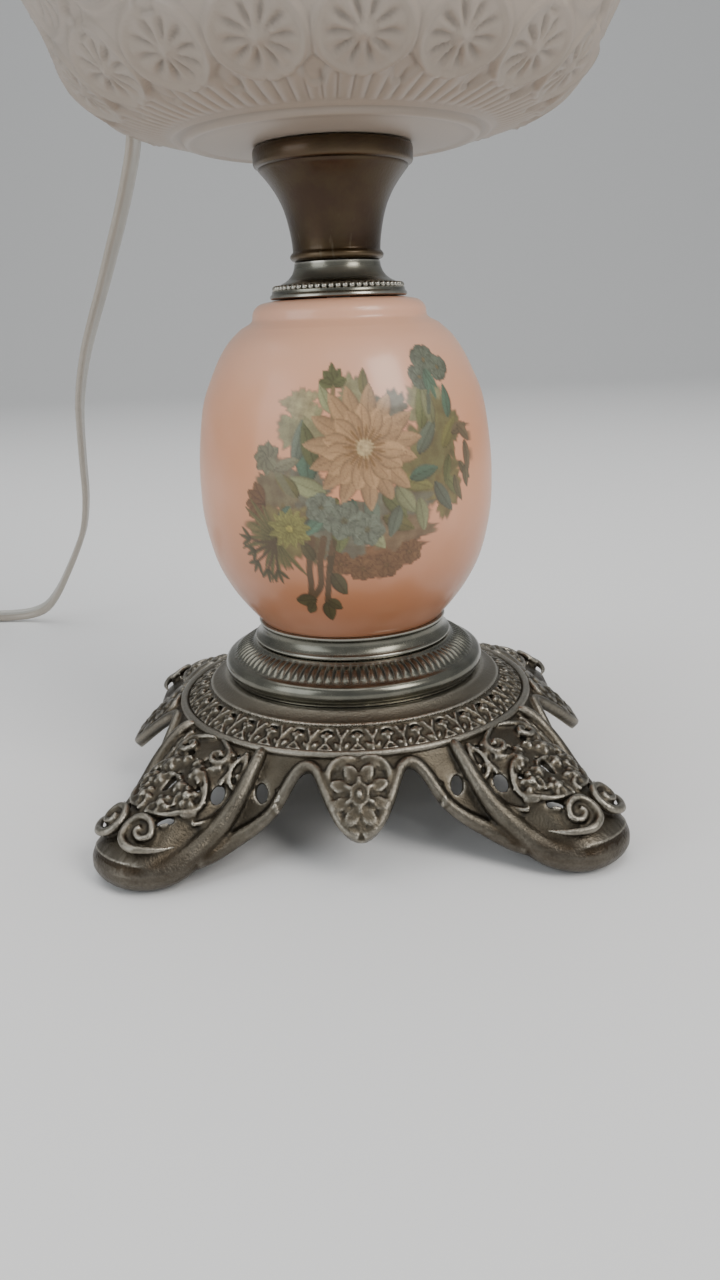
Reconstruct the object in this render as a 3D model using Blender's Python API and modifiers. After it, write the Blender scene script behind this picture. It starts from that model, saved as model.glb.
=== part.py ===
"""An electrified parlour oil lamp, as its separate pieces.

A pierced cast base carries a spun collar, a painted glass stem, a beaded cap and a trumpet-shaped
connector, all clamped by one tie rod. The connector holds the pressed glass fount. An electric
burner screws into the fount's collar, with a rotary switch, a lamp socket, a bulb and a glass
chimney. A flat twin cord leaves the burner, hangs behind the fount and ends in a coil with its plug.

Units are metres, +Z is up, and the origin is on the table under the middle of the base.
"""

import math

import bmesh
import bpy
from mathutils import Matrix, Vector

# ---------------------------------------------------------------- shared clearances and counts
GAP = 0.0003
STEPS = 32
SMALL_STEPS = 24
MERGE = 0.00001

# ---------------------------------------------------------------- cast base
RIM_RADIUS = 0.0525
RIM_HEIGHT = 0.0284
SEAT_HEIGHT = 0.0360
SEAT_MARGIN = 0.0006
FOOT_REACH = 0.0924
PENDANT_REACH = 0.0700
PENDANT_DROP = 0.0162
CASTING_WALL = 0.0024
BASE_COLUMNS = 96
LIP_DEPTH = 0.0030
CUT_DEPTH = 0.0020
# How the outer edge runs from the middle of a leg: degrees, share of the reach, share of the drop.
LEG_EDGE = [
    (0, 1.00, 0.68),
    (4, 0.985, 0.68),
    (8, 0.90, 0.72),
    (12, 0.60, 0.82),
    (16, 0.43, 0.72),
    (20, 0.33, 0.62),
    (24, 0.25, 0.48),
    (27, 0.13, 0.20),
    (30, 0.07, 0.10),
]
# The same from the middle of a pendant.
PENDANT_EDGE = [
    (0, 1.00, 1.00),
    (4, 0.91, 0.86),
    (8, 0.55, 0.47),
    (11, 0.23, 0.21),
    (15, 0.16, 0.17),
]
# Heights down the skirt, as shares of the way from the rim to the edge.
SKIRT_ROWS = [0.17, 0.34, 0.52, 0.70, 0.86, 1.0]
LEG_BULGE = 0.13
PENDANT_BULGE = 0.05

# ---------------------------------------------------------------- tie rod and its fasteners
ROD_RADIUS = 0.0032
ROD_CLEARANCE = 0.0004
WASHER_RADIUS = 0.0140
WASHER_THICKNESS = 0.0016
NUT_WIDTH = 0.0110
NUT_HEIGHT = 0.0050
ROD_PROUD = 0.0030

# ---------------------------------------------------------------- gadroon collar and seat ring
FLANGE_RADIUS = 0.0389
FLANGE_HEIGHT = 0.0064
GADROON_RISE = 0.0040
COLLAR_WALL = 0.0016
SEAT_RING_HEIGHT = 0.0061
SEAT_RING_FLARE = 0.0022
SEAT_DEPTH = 0.0014

# ---------------------------------------------------------------- painted glass stem
GLASS_RADIUS = 0.0420
GLASS_HEIGHT = 0.0911
GLASS_WALL = 0.0030
# The outside from the foot to the mouth: share of the radius, share of the height.
GLASS_SHAPE = [
    (0.592, 0.000),
    (0.640, 0.016),
    (0.733, 0.065),
    (0.829, 0.127),
    (0.910, 0.199),
    (0.957, 0.270),
    (0.993, 0.363),
    (1.000, 0.451),
    (0.993, 0.539),
    (0.967, 0.638),
    (0.933, 0.715),
    (0.876, 0.780),
    (0.810, 0.841),
    (0.738, 0.888),
    (0.655, 0.923),
    (0.580, 0.944),
    (0.569, 0.969),
    (0.524, 0.988),
    (0.430, 1.000),
]

# ---------------------------------------------------------------- beaded cap and connector
CAP_RADIUS = 0.0189
CAP_HEIGHT = 0.0092
CAP_WALL = 0.0012
NECK_RADIUS = 0.0117
CONNECTOR_HEIGHT = 0.0282
CONNECTOR_MOUTH = 0.0213
CONNECTOR_WAIST = 0.0114
CONNECTOR_BEAD = 0.0127
CONNECTOR_WALL = 0.0016
CONNECTOR_WEB = 0.0022

# ---------------------------------------------------------------- pressed glass fount
FOUNT_RADIUS = 0.0820
FOUNT_HEIGHT = 0.0818
FOUNT_WALL = 0.0036
PEG_RADIUS = 0.0095
PEG_LENGTH = 0.0130
FOUNT_NECK_RADIUS = 0.0145
FOUNT_NECK_HEIGHT = 0.0060
# The outside from the underside to the shoulder: share of the radius, share of the height.
FOUNT_SHAPE = [
    (0.439, 0.014),
    (0.457, 0.012),
    (0.482, 0.028),
    (0.551, 0.040),
    (0.659, 0.070),
    (0.734, 0.107),
    (0.787, 0.150),
    (0.821, 0.199),
    (0.846, 0.272),
    (0.890, 0.358),
    (0.941, 0.463),
    (0.982, 0.553),
    (1.000, 0.639),
    (0.988, 0.724),
    (0.939, 0.804),
    (0.841, 0.865),
    (0.671, 0.920),
    (0.463, 0.963),
    (0.293, 0.987),
]

# ---------------------------------------------------------------- fount collar and burner
COLLAR_RADIUS = 0.0188
COLLAR_HEIGHT = 0.0135
COLLAR_WALL_TOP = 0.0030
THIMBLE_WALL = 0.0018
THIMBLE_DEPTH = 0.0062
BURNER_FLANGE = 0.0186
BURNER_FLANGE_THICKNESS = 0.0016
BOWL_RADIUS = 0.0305
BOWL_HEIGHT = 0.0185
SHEET = 0.0009
BURNER_COLUMNS = 48
GALLERY_LIP = 0.0025
PRONG_HEIGHT = 0.0200
PRONG_COUNT = 4

# ---------------------------------------------------------------- switch
SWITCH_RADIUS = 0.0120
SWITCH_HEIGHT = 0.0125
SHAFT_RADIUS = 0.0016
SHAFT_REACH = 0.0460
KNOB_RADIUS = 0.0085
KNOB_THICKNESS = 0.0050
KNOB_FLAT = 0.0042

# ---------------------------------------------------------------- socket, bulb and chimney
SOCKET_RADIUS = 0.0185
SOCKET_HEIGHT = 0.0300
SOCKET_WALL = 0.0010
SOCKET_BASE = 0.0048
CAP_THREAD_RADIUS = 0.0131
THREAD_CLEARANCE = 0.0004
SCREW_SHELL_WALL = 0.0006
SCREW_SHELL_DEPTH = 0.0230
BULB_CAP_HEIGHT = 0.0235
BULB_TIP_HEIGHT = 0.0030
BULB_RADIUS = 0.0240
BULB_LENGTH = 0.0640
BULB_WALL = 0.0010
CHIMNEY_FOOT_RADIUS = 0.0376
CHIMNEY_HEIGHT = 0.2160
CHIMNEY_BULGE = 0.0465
CHIMNEY_WAIST = 0.0222
CHIMNEY_WALL = 0.0020

# ---------------------------------------------------------------- cord and plug
CORD_RADIUS = 0.0027
BUSHING_LENGTH = 0.0225
BUSHING_REACH = 0.0490
BUSHING_RADIUS = 0.0048
CORD_AZIMUTH = math.radians(127.5)
LEAD_RADIUS = 0.0009
COIL_CENTRE = (-0.2120, 0.1500)
COIL_MIDDLE = 0.0295
COIL_THICKNESS = 0.0175
COIL_HEIGHT = 0.0092
PLUG_SIZE = (0.0250, 0.0170, 0.0105)
PRONG_SIZE = (0.0160, 0.0064, 0.0015)
PRONG_SPACING = 0.0127
TAIL_LENGTH = 0.0260

# ---------------------------------------------------------------- stack of heights, bottom to top
COLLAR_BOTTOM = SEAT_HEIGHT + GAP
GLASS_FOOT_RADIUS = GLASS_SHAPE[0][0] * GLASS_RADIUS
SEAT_RING_BOTTOM = COLLAR_BOTTOM + FLANGE_HEIGHT + GADROON_RISE
SEAT_RING_TOP = SEAT_RING_BOTTOM + SEAT_RING_HEIGHT
GLASS_BOTTOM = SEAT_RING_TOP - SEAT_DEPTH
GLASS_TOP = GLASS_BOTTOM + GLASS_HEIGHT
GLASS_MOUTH_RADIUS = GLASS_SHAPE[-1][0] * GLASS_RADIUS
CAP_BOTTOM = GLASS_TOP + GAP
CAP_TOP = CAP_BOTTOM + CAP_HEIGHT
CONNECTOR_BOTTOM = CAP_TOP + GAP
CONNECTOR_TOP = CONNECTOR_BOTTOM + CONNECTOR_HEIGHT
FOUNT_BOTTOM = CONNECTOR_TOP + GAP
FOUNT_SHOULDER = FOUNT_BOTTOM + FOUNT_HEIGHT
FOUNT_TOP = FOUNT_SHOULDER + FOUNT_NECK_HEIGHT
FOUNT_COLLAR_BOTTOM = FOUNT_SHOULDER + GAP
FOUNT_COLLAR_TOP = FOUNT_COLLAR_BOTTOM + COLLAR_HEIGHT
THIMBLE_RADIUS = COLLAR_RADIUS - COLLAR_WALL_TOP - GAP
FLANGE_BOTTOM = FOUNT_COLLAR_TOP + GAP
BOWL_BOTTOM = FLANGE_BOTTOM + BURNER_FLANGE_THICKNESS + GAP
BOWL_TOP = BOWL_BOTTOM + BOWL_HEIGHT
GALLERY_BOTTOM = BOWL_TOP + GAP
SWITCH_BOTTOM = BOWL_BOTTOM + SHEET + GAP
SWITCH_TOP = SWITCH_BOTTOM + SWITCH_HEIGHT
SHAFT_HEIGHT = SWITCH_BOTTOM + SWITCH_HEIGHT / 2
SOCKET_BOTTOM = SWITCH_TOP + GAP
SCREW_SHELL_BOTTOM = SOCKET_BOTTOM + SOCKET_BASE + GAP
CONTACT_TOP = SCREW_SHELL_BOTTOM + 0.0016
BULB_TIP_BOTTOM = CONTACT_TOP + GAP
BULB_CAP_BOTTOM = BULB_TIP_BOTTOM + BULB_TIP_HEIGHT + GAP
BULB_CAP_TOP = BULB_CAP_BOTTOM + BULB_CAP_HEIGHT
CHIMNEY_BOTTOM = GALLERY_BOTTOM + SHEET + GAP
ROD_HOLE = ROD_RADIUS + ROD_CLEARANCE

# The cord's route from the bushing to the coil, chosen by hand: it runs level, drops behind the
# fount and lands beside it, then turns along the table to the coil.
CORD_ROUTE = [
    (-0.0371, 0.0484, 0.2856),
    (-0.0450, 0.0590, 0.2802),
    (-0.0520, 0.0700, 0.2690),
    (-0.0577, 0.0788, 0.2530),
    (-0.0625, 0.0857, 0.2350),
    (-0.0662, 0.0909, 0.2170),
    (-0.0693, 0.0952, 0.1990),
    (-0.0733, 0.1012, 0.1890),
    (-0.0785, 0.1075, 0.1778),
    (-0.0845, 0.1137, 0.1658),
    (-0.0909, 0.1199, 0.1530),
    (-0.0984, 0.1261, 0.1382),
    (-0.1044, 0.1324, 0.1256),
    (-0.1095, 0.1385, 0.1107),
    (-0.1124, 0.1447, 0.0979),
    (-0.1147, 0.1508, 0.0815),
    (-0.1169, 0.1569, 0.0660),
    (-0.1210, 0.1630, 0.0514),
    (-0.1273, 0.1692, 0.0395),
    (-0.1345, 0.1754, 0.0280),
    (-0.1420, 0.1812, 0.0170),
    (-0.1500, 0.1865, 0.0083),
    (-0.1590, 0.1898, 0.0042),
    (-0.1690, 0.1912, 0.0029),
    (-0.1800, 0.1916, 0.0029),
    (-0.1950, 0.1916, 0.0029),
    (-0.2100, 0.1916, 0.0029),
]


# ================================================================ helpers
def clear_scene():
    for old in list(bpy.data.objects):
        bpy.data.objects.remove(old, do_unlink=True)


def new_collection(name):
    collection = bpy.data.collections.new(name)
    bpy.context.scene.collection.children.link(collection)
    return collection


def finish_of(name, colour, roughness, metallic=0.0):
    """A plain Principled material, made once for each name."""
    found = bpy.data.materials.get(name)
    if found:
        return found
    material = bpy.data.materials.new(name)
    material.use_nodes = True
    shader = material.node_tree.nodes["Principled BSDF"]
    shader.inputs["Base Color"].default_value = (*colour, 1.0)
    shader.inputs["Roughness"].default_value = roughness
    shader.inputs["Metallic"].default_value = metallic
    return material


FINISHES = {
    "antique_casting": ((0.20, 0.18, 0.15), 0.45, 0.9),
    "antique_collar": ((0.26, 0.25, 0.22), 0.30, 0.9),
    "aged_brass": ((0.24, 0.17, 0.08), 0.35, 0.9),
    "burner_brass": ((0.55, 0.40, 0.16), 0.30, 0.9),
    "steel": ((0.45, 0.45, 0.46), 0.40, 0.9),
    "painted_glass": ((0.80, 0.55, 0.45), 0.25, 0.0),
    "frosted_glass": ((0.78, 0.76, 0.73), 0.50, 0.0),
    "clear_glass": ((0.85, 0.88, 0.88), 0.05, 0.0),
    "bulb_glass": ((0.90, 0.89, 0.85), 0.20, 0.0),
    "plaster": ((0.78, 0.75, 0.70), 0.90, 0.0),
    "phenolic": ((0.05, 0.03, 0.02), 0.40, 0.0),
    "porcelain": ((0.85, 0.84, 0.80), 0.25, 0.0),
    "cord_plastic": ((0.62, 0.60, 0.52), 0.35, 0.0),
}


def add_object(name, data, finish):
    colour, roughness, metallic = FINISHES[finish]
    data.materials.append(finish_of(finish, colour, roughness, metallic))
    made = bpy.data.objects.new(name, data)
    LAMP.objects.link(made)
    return made


def as_mesh(name, builder):
    mesh = bpy.data.meshes.new(name)
    builder.to_mesh(mesh)
    builder.free()
    return mesh


def smooth(made, degrees=35):
    made.data.shade_smooth()
    made.data.set_sharp_from_angle(angle=math.radians(degrees))


def turned(name, outline, finish, steps=STEPS, closed=True):
    """A turned piece: outline runs down the outer side, then back up the inner one, as (radius, height)."""
    builder = bmesh.new()
    corners = [builder.verts.new((radius, 0.0, height)) for radius, height in outline]
    for first, second in zip(corners, corners[1:]):
        builder.edges.new((first, second))
    if closed:
        builder.edges.new((corners[-1], corners[0]))
    made = add_object(name, as_mesh(name, builder), finish)
    screw = made.modifiers.new("turn", "SCREW")
    screw.axis = "Z"
    screw.angle = math.tau
    screw.steps = steps
    screw.render_steps = steps
    screw.use_merge_vertices = True
    screw.merge_threshold = MERGE
    screw.use_smooth_shade = True
    return made


def wrapped_sheet(name, columns, lines, place, keep, wall, finish):
    """A sheet wrapped round the axis: place(turn, line) gives a point, and keep(column, row) says
    which faces stay. Its outside is the surface itself, and the wall goes inwards."""
    builder = bmesh.new()
    bmesh.ops.create_grid(builder, x_segments=columns, y_segments=lines - 1, size=0.5)
    for vertex in builder.verts:
        vertex.co.x = round((vertex.co.x + 0.5) * columns)
        vertex.co.y = round((vertex.co.y + 0.5) * (lines - 1))
    gone = []
    for face in builder.faces:
        middle = face.calc_center_median()
        if not keep(int(middle.x), int(middle.y)):
            gone.append(face)
    bmesh.ops.delete(builder, geom=gone, context="FACES")
    for vertex in builder.verts:
        column, line = round(vertex.co.x), round(vertex.co.y)
        vertex.co = place(-math.tau * column / columns, line)
    bmesh.ops.remove_doubles(builder, verts=builder.verts, dist=MERGE)
    made = add_object(name, as_mesh(name, builder), finish)
    smooth(made)
    solid = made.modifiers.new("wall", "SOLIDIFY")
    solid.thickness = wall
    solid.offset = -1.0
    solid.use_even_offset = True
    return made


def around(angle, radius, height):
    return Vector((radius * math.cos(angle), radius * math.sin(angle), height))


def wire(name, points, radius, finish, sides=2):
    """A round tube along the points, with its ends closed."""
    curve = bpy.data.curves.new(name, "CURVE")
    curve.dimensions = "3D"
    curve.bevel_depth = radius
    curve.bevel_resolution = sides
    curve.use_fill_caps = True
    spline = curve.splines.new("POLY")
    spline.points.add(len(points) - 1)
    for target, point in zip(spline.points, points):
        target.co = (*point, 1.0)
    return add_object(name, curve, finish)


def smooth_route(controls, spacing):
    """Points about that far apart along a smooth curve through the controls."""
    found = [Vector(controls[0])]
    count = len(controls)
    for i in range(count - 1):
        before = Vector(controls[max(i - 1, 0)])
        start, end = Vector(controls[i]), Vector(controls[i + 1])
        after = Vector(controls[min(i + 2, count - 1)])
        for k in range(1, 9):
            t = k / 8
            point = 0.5 * (
                2 * start
                + (end - before) * t
                + (2 * before - 5 * start + 4 * end - after) * t**2
                + (3 * start - before - 3 * end + after) * t**3
            )
            if (point - found[-1]).length >= spacing:
                found.append(point)
    last = Vector(controls[-1])
    if (last - found[-1]).length < spacing / 2:
        found.pop()
    return found + [last]


def block(name, size, location, finish, turn=0.0, bevel=0.0):
    """A box of that size about its middle, turned about the vertical, with rounded edges."""
    builder = bmesh.new()
    bmesh.ops.create_cube(builder, size=1.0)
    bmesh.ops.scale(builder, vec=size, verts=builder.verts)
    if bevel:
        bmesh.ops.bevel(
            builder, geom=builder.edges, offset=bevel, segments=2, profile=0.5, affect="EDGES"
        )
    made = add_object(name, as_mesh(name, builder), finish)
    made.matrix_world = Matrix.Translation(location) @ Matrix.Rotation(turn, 4, "Z")
    return made


def nut(name, height):
    """A hexagon nut round the tie rod, its underside at that height."""
    builder = bmesh.new()
    across = NUT_WIDTH / math.sqrt(3)
    bmesh.ops.create_cone(
        builder, cap_ends=True, segments=6, radius1=across, radius2=across, depth=NUT_HEIGHT
    )
    made = add_object(name, as_mesh(name, builder), "steel")
    made.location.z = height + NUT_HEIGHT / 2
    hole = bmesh.new()
    bmesh.ops.create_cone(
        hole, cap_ends=True, segments=SMALL_STEPS, radius1=ROD_HOLE, radius2=ROD_HOLE,
        depth=3 * NUT_HEIGHT,
    )
    cutter = bpy.data.objects.new(name + "_hole", as_mesh(name + "_hole", hole))
    cutter.location = made.location
    cut_away(made, cutter)
    return made


def cut_away(made, cutter):
    CUTTERS.objects.link(cutter)
    cutter.hide_render = True
    cutter.display_type = "WIRE"
    cut = made.modifiers.new("cut", "BOOLEAN")
    cut.operation = "DIFFERENCE"
    cut.object = cutter


def between(points, at):
    """The values beside at in a list of (position, value, value), drawn as straight lines."""
    for (start, *low), (end, *high) in zip(points, points[1:]):
        if at <= end:
            share = (at - start) / (end - start)
            return [a + (b - a) * share for a, b in zip(low, high)]
    return list(points[-1][1:])


def inward(outline, wall):
    """The outline moved towards the axis side by the wall, square to its own direction."""
    moved = []
    for i, (radius, height) in enumerate(outline):
        r0, h0 = outline[max(i - 1, 0)]
        r1, h1 = outline[min(i + 1, len(outline) - 1)]
        along = math.hypot(r1 - r0, h1 - h0)
        moved.append((radius - wall * (h1 - h0) / along, height + wall * (r1 - r0) / along))
    return moved


# ================================================================ the cast base
def edge_of(angle):
    """(radius, height, degrees from the leg's middle) of the skirt's outer edge at an angle."""
    from_leg = abs((math.degrees(angle) % 90) - 45)
    if from_leg <= LEG_EDGE[-1][0]:
        out, down = between(LEG_EDGE, from_leg)
        radius = RIM_RADIUS + out * (FOOT_REACH - RIM_RADIUS)
        return radius, RIM_HEIGHT * (1 - down), from_leg
    out, down = between(PENDANT_EDGE, 45 - from_leg)
    radius = RIM_RADIUS + out * (PENDANT_REACH - RIM_RADIUS)
    return radius, RIM_HEIGHT - down * PENDANT_DROP, from_leg


def base_point(angle, line):
    plate = [
        (ROD_HOLE, SEAT_HEIGHT),
        (FLANGE_RADIUS * 0.55, SEAT_HEIGHT),
        (FLANGE_RADIUS + SEAT_MARGIN, SEAT_HEIGHT),
        (RIM_RADIUS * 0.845, SEAT_HEIGHT - 0.36 * (SEAT_HEIGHT - RIM_HEIGHT)),
        (RIM_RADIUS * 0.940, SEAT_HEIGHT - 0.84 * (SEAT_HEIGHT - RIM_HEIGHT)),
        (RIM_RADIUS, RIM_HEIGHT),
    ]
    if line < len(plate):
        return around(angle, *plate[line])
    radius, height, from_leg = edge_of(angle)
    row = line - len(plate)
    on_leg = max(0.0, min(1.0, (24 - from_leg) / 12))
    if row < len(SKIRT_ROWS):
        share = SKIRT_ROWS[row]
        bulge = PENDANT_BULGE + (LEG_BULGE - PENDANT_BULGE) * on_leg
        fall = share - bulge * math.sin(math.pi * share)
        return around(
            angle,
            RIM_RADIUS + (radius - RIM_RADIUS) * share,
            RIM_HEIGHT - (RIM_HEIGHT - height) * fall,
        )
    on_foot = max(0.0, min(1.0, (16 - from_leg) / 5))
    lip = LIP_DEPTH + (height + CUT_DEPTH - LIP_DEPTH) * on_foot
    return around(angle, radius, height - lip)


def base_keep(column, row):
    """The pierced band has a window in every third column, and each leg has its own piercings."""
    if row == 3:
        return column % 3 != 1
    step = 360 / BASE_COLUMNS
    from_leg = abs(((column + 0.5) * step) % 90 - 45)
    if row in (7, 8):
        return not step < from_leg < 3 * step
    if row in (6, 7):
        return not 5 * step < from_leg < 6 * step
    return True


def make_base():
    lines = 6 + len(SKIRT_ROWS) + 1
    base = wrapped_sheet(
        "base_casting", BASE_COLUMNS, lines, base_point, base_keep, CASTING_WALL,
        "antique_casting",
    )
    floor = bmesh.new()
    bmesh.ops.create_cube(floor, size=1.0)
    reach = 2.6 * FOOT_REACH
    bmesh.ops.scale(floor, vec=(reach, reach, 0.02), verts=floor.verts)
    cutter = bpy.data.objects.new("below_table", as_mesh("below_table", floor))
    cutter.location.z = -0.01
    cut_away(base, cutter)


def make_tie_rod():
    washer_top = SEAT_HEIGHT - CASTING_WALL - GAP
    washer_bottom = washer_top - WASHER_THICKNESS
    nut_bottom = washer_bottom - GAP - NUT_HEIGHT
    turned(
        "base_washer",
        [
            (ROD_HOLE, washer_top),
            (WASHER_RADIUS, washer_top),
            (WASHER_RADIUS, washer_bottom),
            (ROD_HOLE, washer_bottom),
        ],
        "steel",
        SMALL_STEPS,
    )
    nut("base_nut", nut_bottom)
    top_nut = CONNECTOR_BOTTOM + CONNECTOR_WEB + GAP
    nut("connector_nut", top_nut)
    rod_bottom = nut_bottom - ROD_PROUD
    rod_top = top_nut + NUT_HEIGHT + ROD_PROUD
    turned(
        "tie_rod",
        [
            (0.0, rod_top),
            (ROD_RADIUS, rod_top),
            (ROD_RADIUS, rod_bottom),
            (0.0, rod_bottom),
        ],
        "steel",
        SMALL_STEPS,
        closed=False,
    )


# ================================================================ the collars round the stem
def make_gadroon_collar():
    """A polished band at the bottom, and above it a shallow cone that carries the flutes."""
    bottom = COLLAR_BOTTOM
    top = SEAT_RING_BOTTOM - GAP
    inner = GLASS_FOOT_RADIUS + 0.0018
    cone_out = FLANGE_RADIUS - 0.0024
    cone_in = GLASS_FOOT_RADIUS + 0.0052
    outer = [
        (inner, top),
        (cone_in, top),
        (0.5 * (cone_in + cone_out), top - 0.35 * GADROON_RISE),
        (cone_out, top - GADROON_RISE + GAP),
        (FLANGE_RADIUS - 0.0010, bottom + 0.84 * FLANGE_HEIGHT),
        (FLANGE_RADIUS, bottom + 0.50 * FLANGE_HEIGHT),
        (FLANGE_RADIUS - 0.0004, bottom + 0.15 * FLANGE_HEIGHT),
        (FLANGE_RADIUS - 0.0013, bottom),
    ]
    hollow = [
        (FLANGE_RADIUS - 0.0013 - COLLAR_WALL, bottom),
        (cone_out - COLLAR_WALL, top - GADROON_RISE - COLLAR_WALL),
        (cone_in, top - COLLAR_WALL),
        (inner, top - COLLAR_WALL),
    ]
    turned("gadroon_collar", outer + hollow, "antique_collar")


def make_seat_ring():
    """The polished cove that the glass stem stands in."""
    grip = GLASS_FOOT_RADIUS + GAP
    lip = GLASS_SHAPE[1][0] * GLASS_RADIUS + GAP
    foot = lip + SEAT_RING_FLARE
    turned(
        "seat_ring",
        [
            (lip, SEAT_RING_TOP),
            (lip + 0.0007, SEAT_RING_TOP - 0.0002),
            (lip + 0.0006, SEAT_RING_TOP - 0.0016),
            (lip + 0.0010, SEAT_RING_BOTTOM + 0.42 * SEAT_RING_HEIGHT),
            (foot - 0.0003, SEAT_RING_BOTTOM + 0.17 * SEAT_RING_HEIGHT),
            (foot, SEAT_RING_BOTTOM + 0.08 * SEAT_RING_HEIGHT),
            (foot - 0.0004, SEAT_RING_BOTTOM),
            (grip - 0.0045, SEAT_RING_BOTTOM),
            (grip - 0.0045, GLASS_BOTTOM - GAP),
            (grip, GLASS_BOTTOM - GAP),
        ],
        "antique_collar",
    )


def make_glass_stem():
    outside = [(share * GLASS_RADIUS, GLASS_BOTTOM + up * GLASS_HEIGHT) for share, up in GLASS_SHAPE]
    inside = inward(outside, GLASS_WALL)
    inside[0] = (outside[0][0] - GLASS_WALL, GLASS_BOTTOM)
    inside[-1] = (outside[-1][0] - GLASS_WALL, GLASS_TOP)
    # The short steps of the moulded mouth would fold over inside, so the inside runs past them.
    inside = inside[:14:2] + [inside[-1]]
    turned("glass_stem", outside[::-1] + inside, "painted_glass")


def make_cap_ring():
    high, low = CAP_TOP, CAP_BOTTOM
    outer = [
        (ROD_HOLE, high),
        (NECK_RADIUS, high),
        (NECK_RADIUS + 0.0002, low + 0.76 * CAP_HEIGHT),
        (NECK_RADIUS + 0.0018, low + 0.55 * CAP_HEIGHT),
        (CAP_RADIUS - 0.0030, low + 0.42 * CAP_HEIGHT),
        (CAP_RADIUS - 0.0012, low + 0.33 * CAP_HEIGHT),
        (CAP_RADIUS - 0.0010, low + 0.18 * CAP_HEIGHT),
        (CAP_RADIUS, low + 0.11 * CAP_HEIGHT),
        (CAP_RADIUS, low),
    ]
    hollow = [
        (CAP_RADIUS - 2.2 * CAP_WALL, low),
        (CAP_RADIUS - 3.4 * CAP_WALL, low + 0.26 * CAP_HEIGHT),
        (NECK_RADIUS - CAP_WALL, low + 0.55 * CAP_HEIGHT),
        (NECK_RADIUS - CAP_WALL, high - CAP_WALL),
        (ROD_HOLE, high - CAP_WALL),
    ]
    turned("cap_ring", outer + hollow, "antique_collar")


def connector_outside():
    low, tall = CONNECTOR_BOTTOM, CONNECTOR_HEIGHT
    spread = CONNECTOR_MOUTH - CONNECTOR_WAIST
    return [
        (CONNECTOR_MOUTH - 0.0001, low + tall),
        (CONNECTOR_MOUTH, low + 0.94 * tall),
        (CONNECTOR_WAIST + 0.95 * spread, low + 0.87 * tall),
        (CONNECTOR_WAIST + 0.86 * spread, low + 0.80 * tall),
        (CONNECTOR_WAIST + 0.55 * spread, low + 0.70 * tall),
        (CONNECTOR_WAIST + 0.27 * spread, low + 0.60 * tall),
        (CONNECTOR_WAIST + 0.10 * spread, low + 0.48 * tall),
        (CONNECTOR_WAIST, low + 0.24 * tall),
        (CONNECTOR_BEAD - 0.0006, low + 0.17 * tall),
        (CONNECTOR_BEAD, low + 0.10 * tall),
        (CONNECTOR_BEAD - 0.0004, low + 0.03 * tall),
        (CONNECTOR_WAIST, low),
    ]


def connector_inside():
    low, tall = CONNECTOR_BOTTOM, CONNECTOR_HEIGHT
    spread = CONNECTOR_MOUTH - CONNECTOR_WAIST
    waist = CONNECTOR_WAIST - CONNECTOR_WALL
    return [
        (waist, low + CONNECTOR_WEB),
        (waist, low + 0.48 * tall),
        (waist + 0.30 * spread, low + 0.68 * tall),
        (waist + 0.80 * spread, low + 0.84 * tall),
        (CONNECTOR_MOUTH - CONNECTOR_WALL, low + 0.93 * tall),
        (CONNECTOR_MOUTH - CONNECTOR_WALL, low + tall),
    ]


def make_connector():
    low = CONNECTOR_BOTTOM
    web = [(ROD_HOLE, low), (ROD_HOLE, low + CONNECTOR_WEB)]
    turned("connector", connector_outside() + web + connector_inside(), "aged_brass")


# ================================================================ the fount
def make_fount():
    """A blown and pressed reservoir: a solid peg below, a hollow body, and a neck above."""
    outside = [(share * FOUNT_RADIUS, FOUNT_BOTTOM + up * FOUNT_HEIGHT) for share, up in FOUNT_SHAPE]
    inside = inward(outside, FOUNT_WALL)[3::2]
    peg_bottom = FOUNT_BOTTOM - PEG_LENGTH
    bottom = [
        (0.0, peg_bottom),
        (PEG_RADIUS, peg_bottom),
        (PEG_RADIUS + 0.0008, FOUNT_BOTTOM - 0.0012),
        (CONNECTOR_MOUTH - 0.0030, FOUNT_BOTTOM),
    ]
    neck = [
        (FOUNT_NECK_RADIUS + 0.0025, FOUNT_SHOULDER - 0.0002),
        (FOUNT_NECK_RADIUS, FOUNT_SHOULDER),
        (FOUNT_NECK_RADIUS, FOUNT_TOP),
        (FOUNT_NECK_RADIUS - 0.0025, FOUNT_TOP),
        (FOUNT_NECK_RADIUS - 0.0025, FOUNT_SHOULDER - FOUNT_WALL),
    ]
    floor = FOUNT_BOTTOM + FOUNT_WALL
    hollow = inside[::-1] + [(FOUNT_SHAPE[0][0] * FOUNT_RADIUS, floor), (0.0, floor)]
    outline = bottom + outside + neck + hollow
    turned("fount", outline[::-1], "frosted_glass", closed=False)


def make_peg_plaster():
    """The plaster that sets the fount's peg in the connector."""
    low = FOUNT_BOTTOM - PEG_LENGTH
    cup = [(radius - GAP, height) for radius, height in connector_inside() if height > low]
    cup[-1] = (cup[-1][0], CONNECTOR_TOP - GAP)
    grip = PEG_RADIUS + 0.0008 + GAP
    start = connector_inside()[1][0] - GAP
    outline = cup[::-1] + [(start, low + GAP), (PEG_RADIUS + GAP, low + GAP)]
    outline += [(grip, CONNECTOR_TOP - 0.0014), (grip + 0.0006, CONNECTOR_TOP - 0.0010)]
    turned("peg_plaster", outline, "plaster", SMALL_STEPS)


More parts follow.
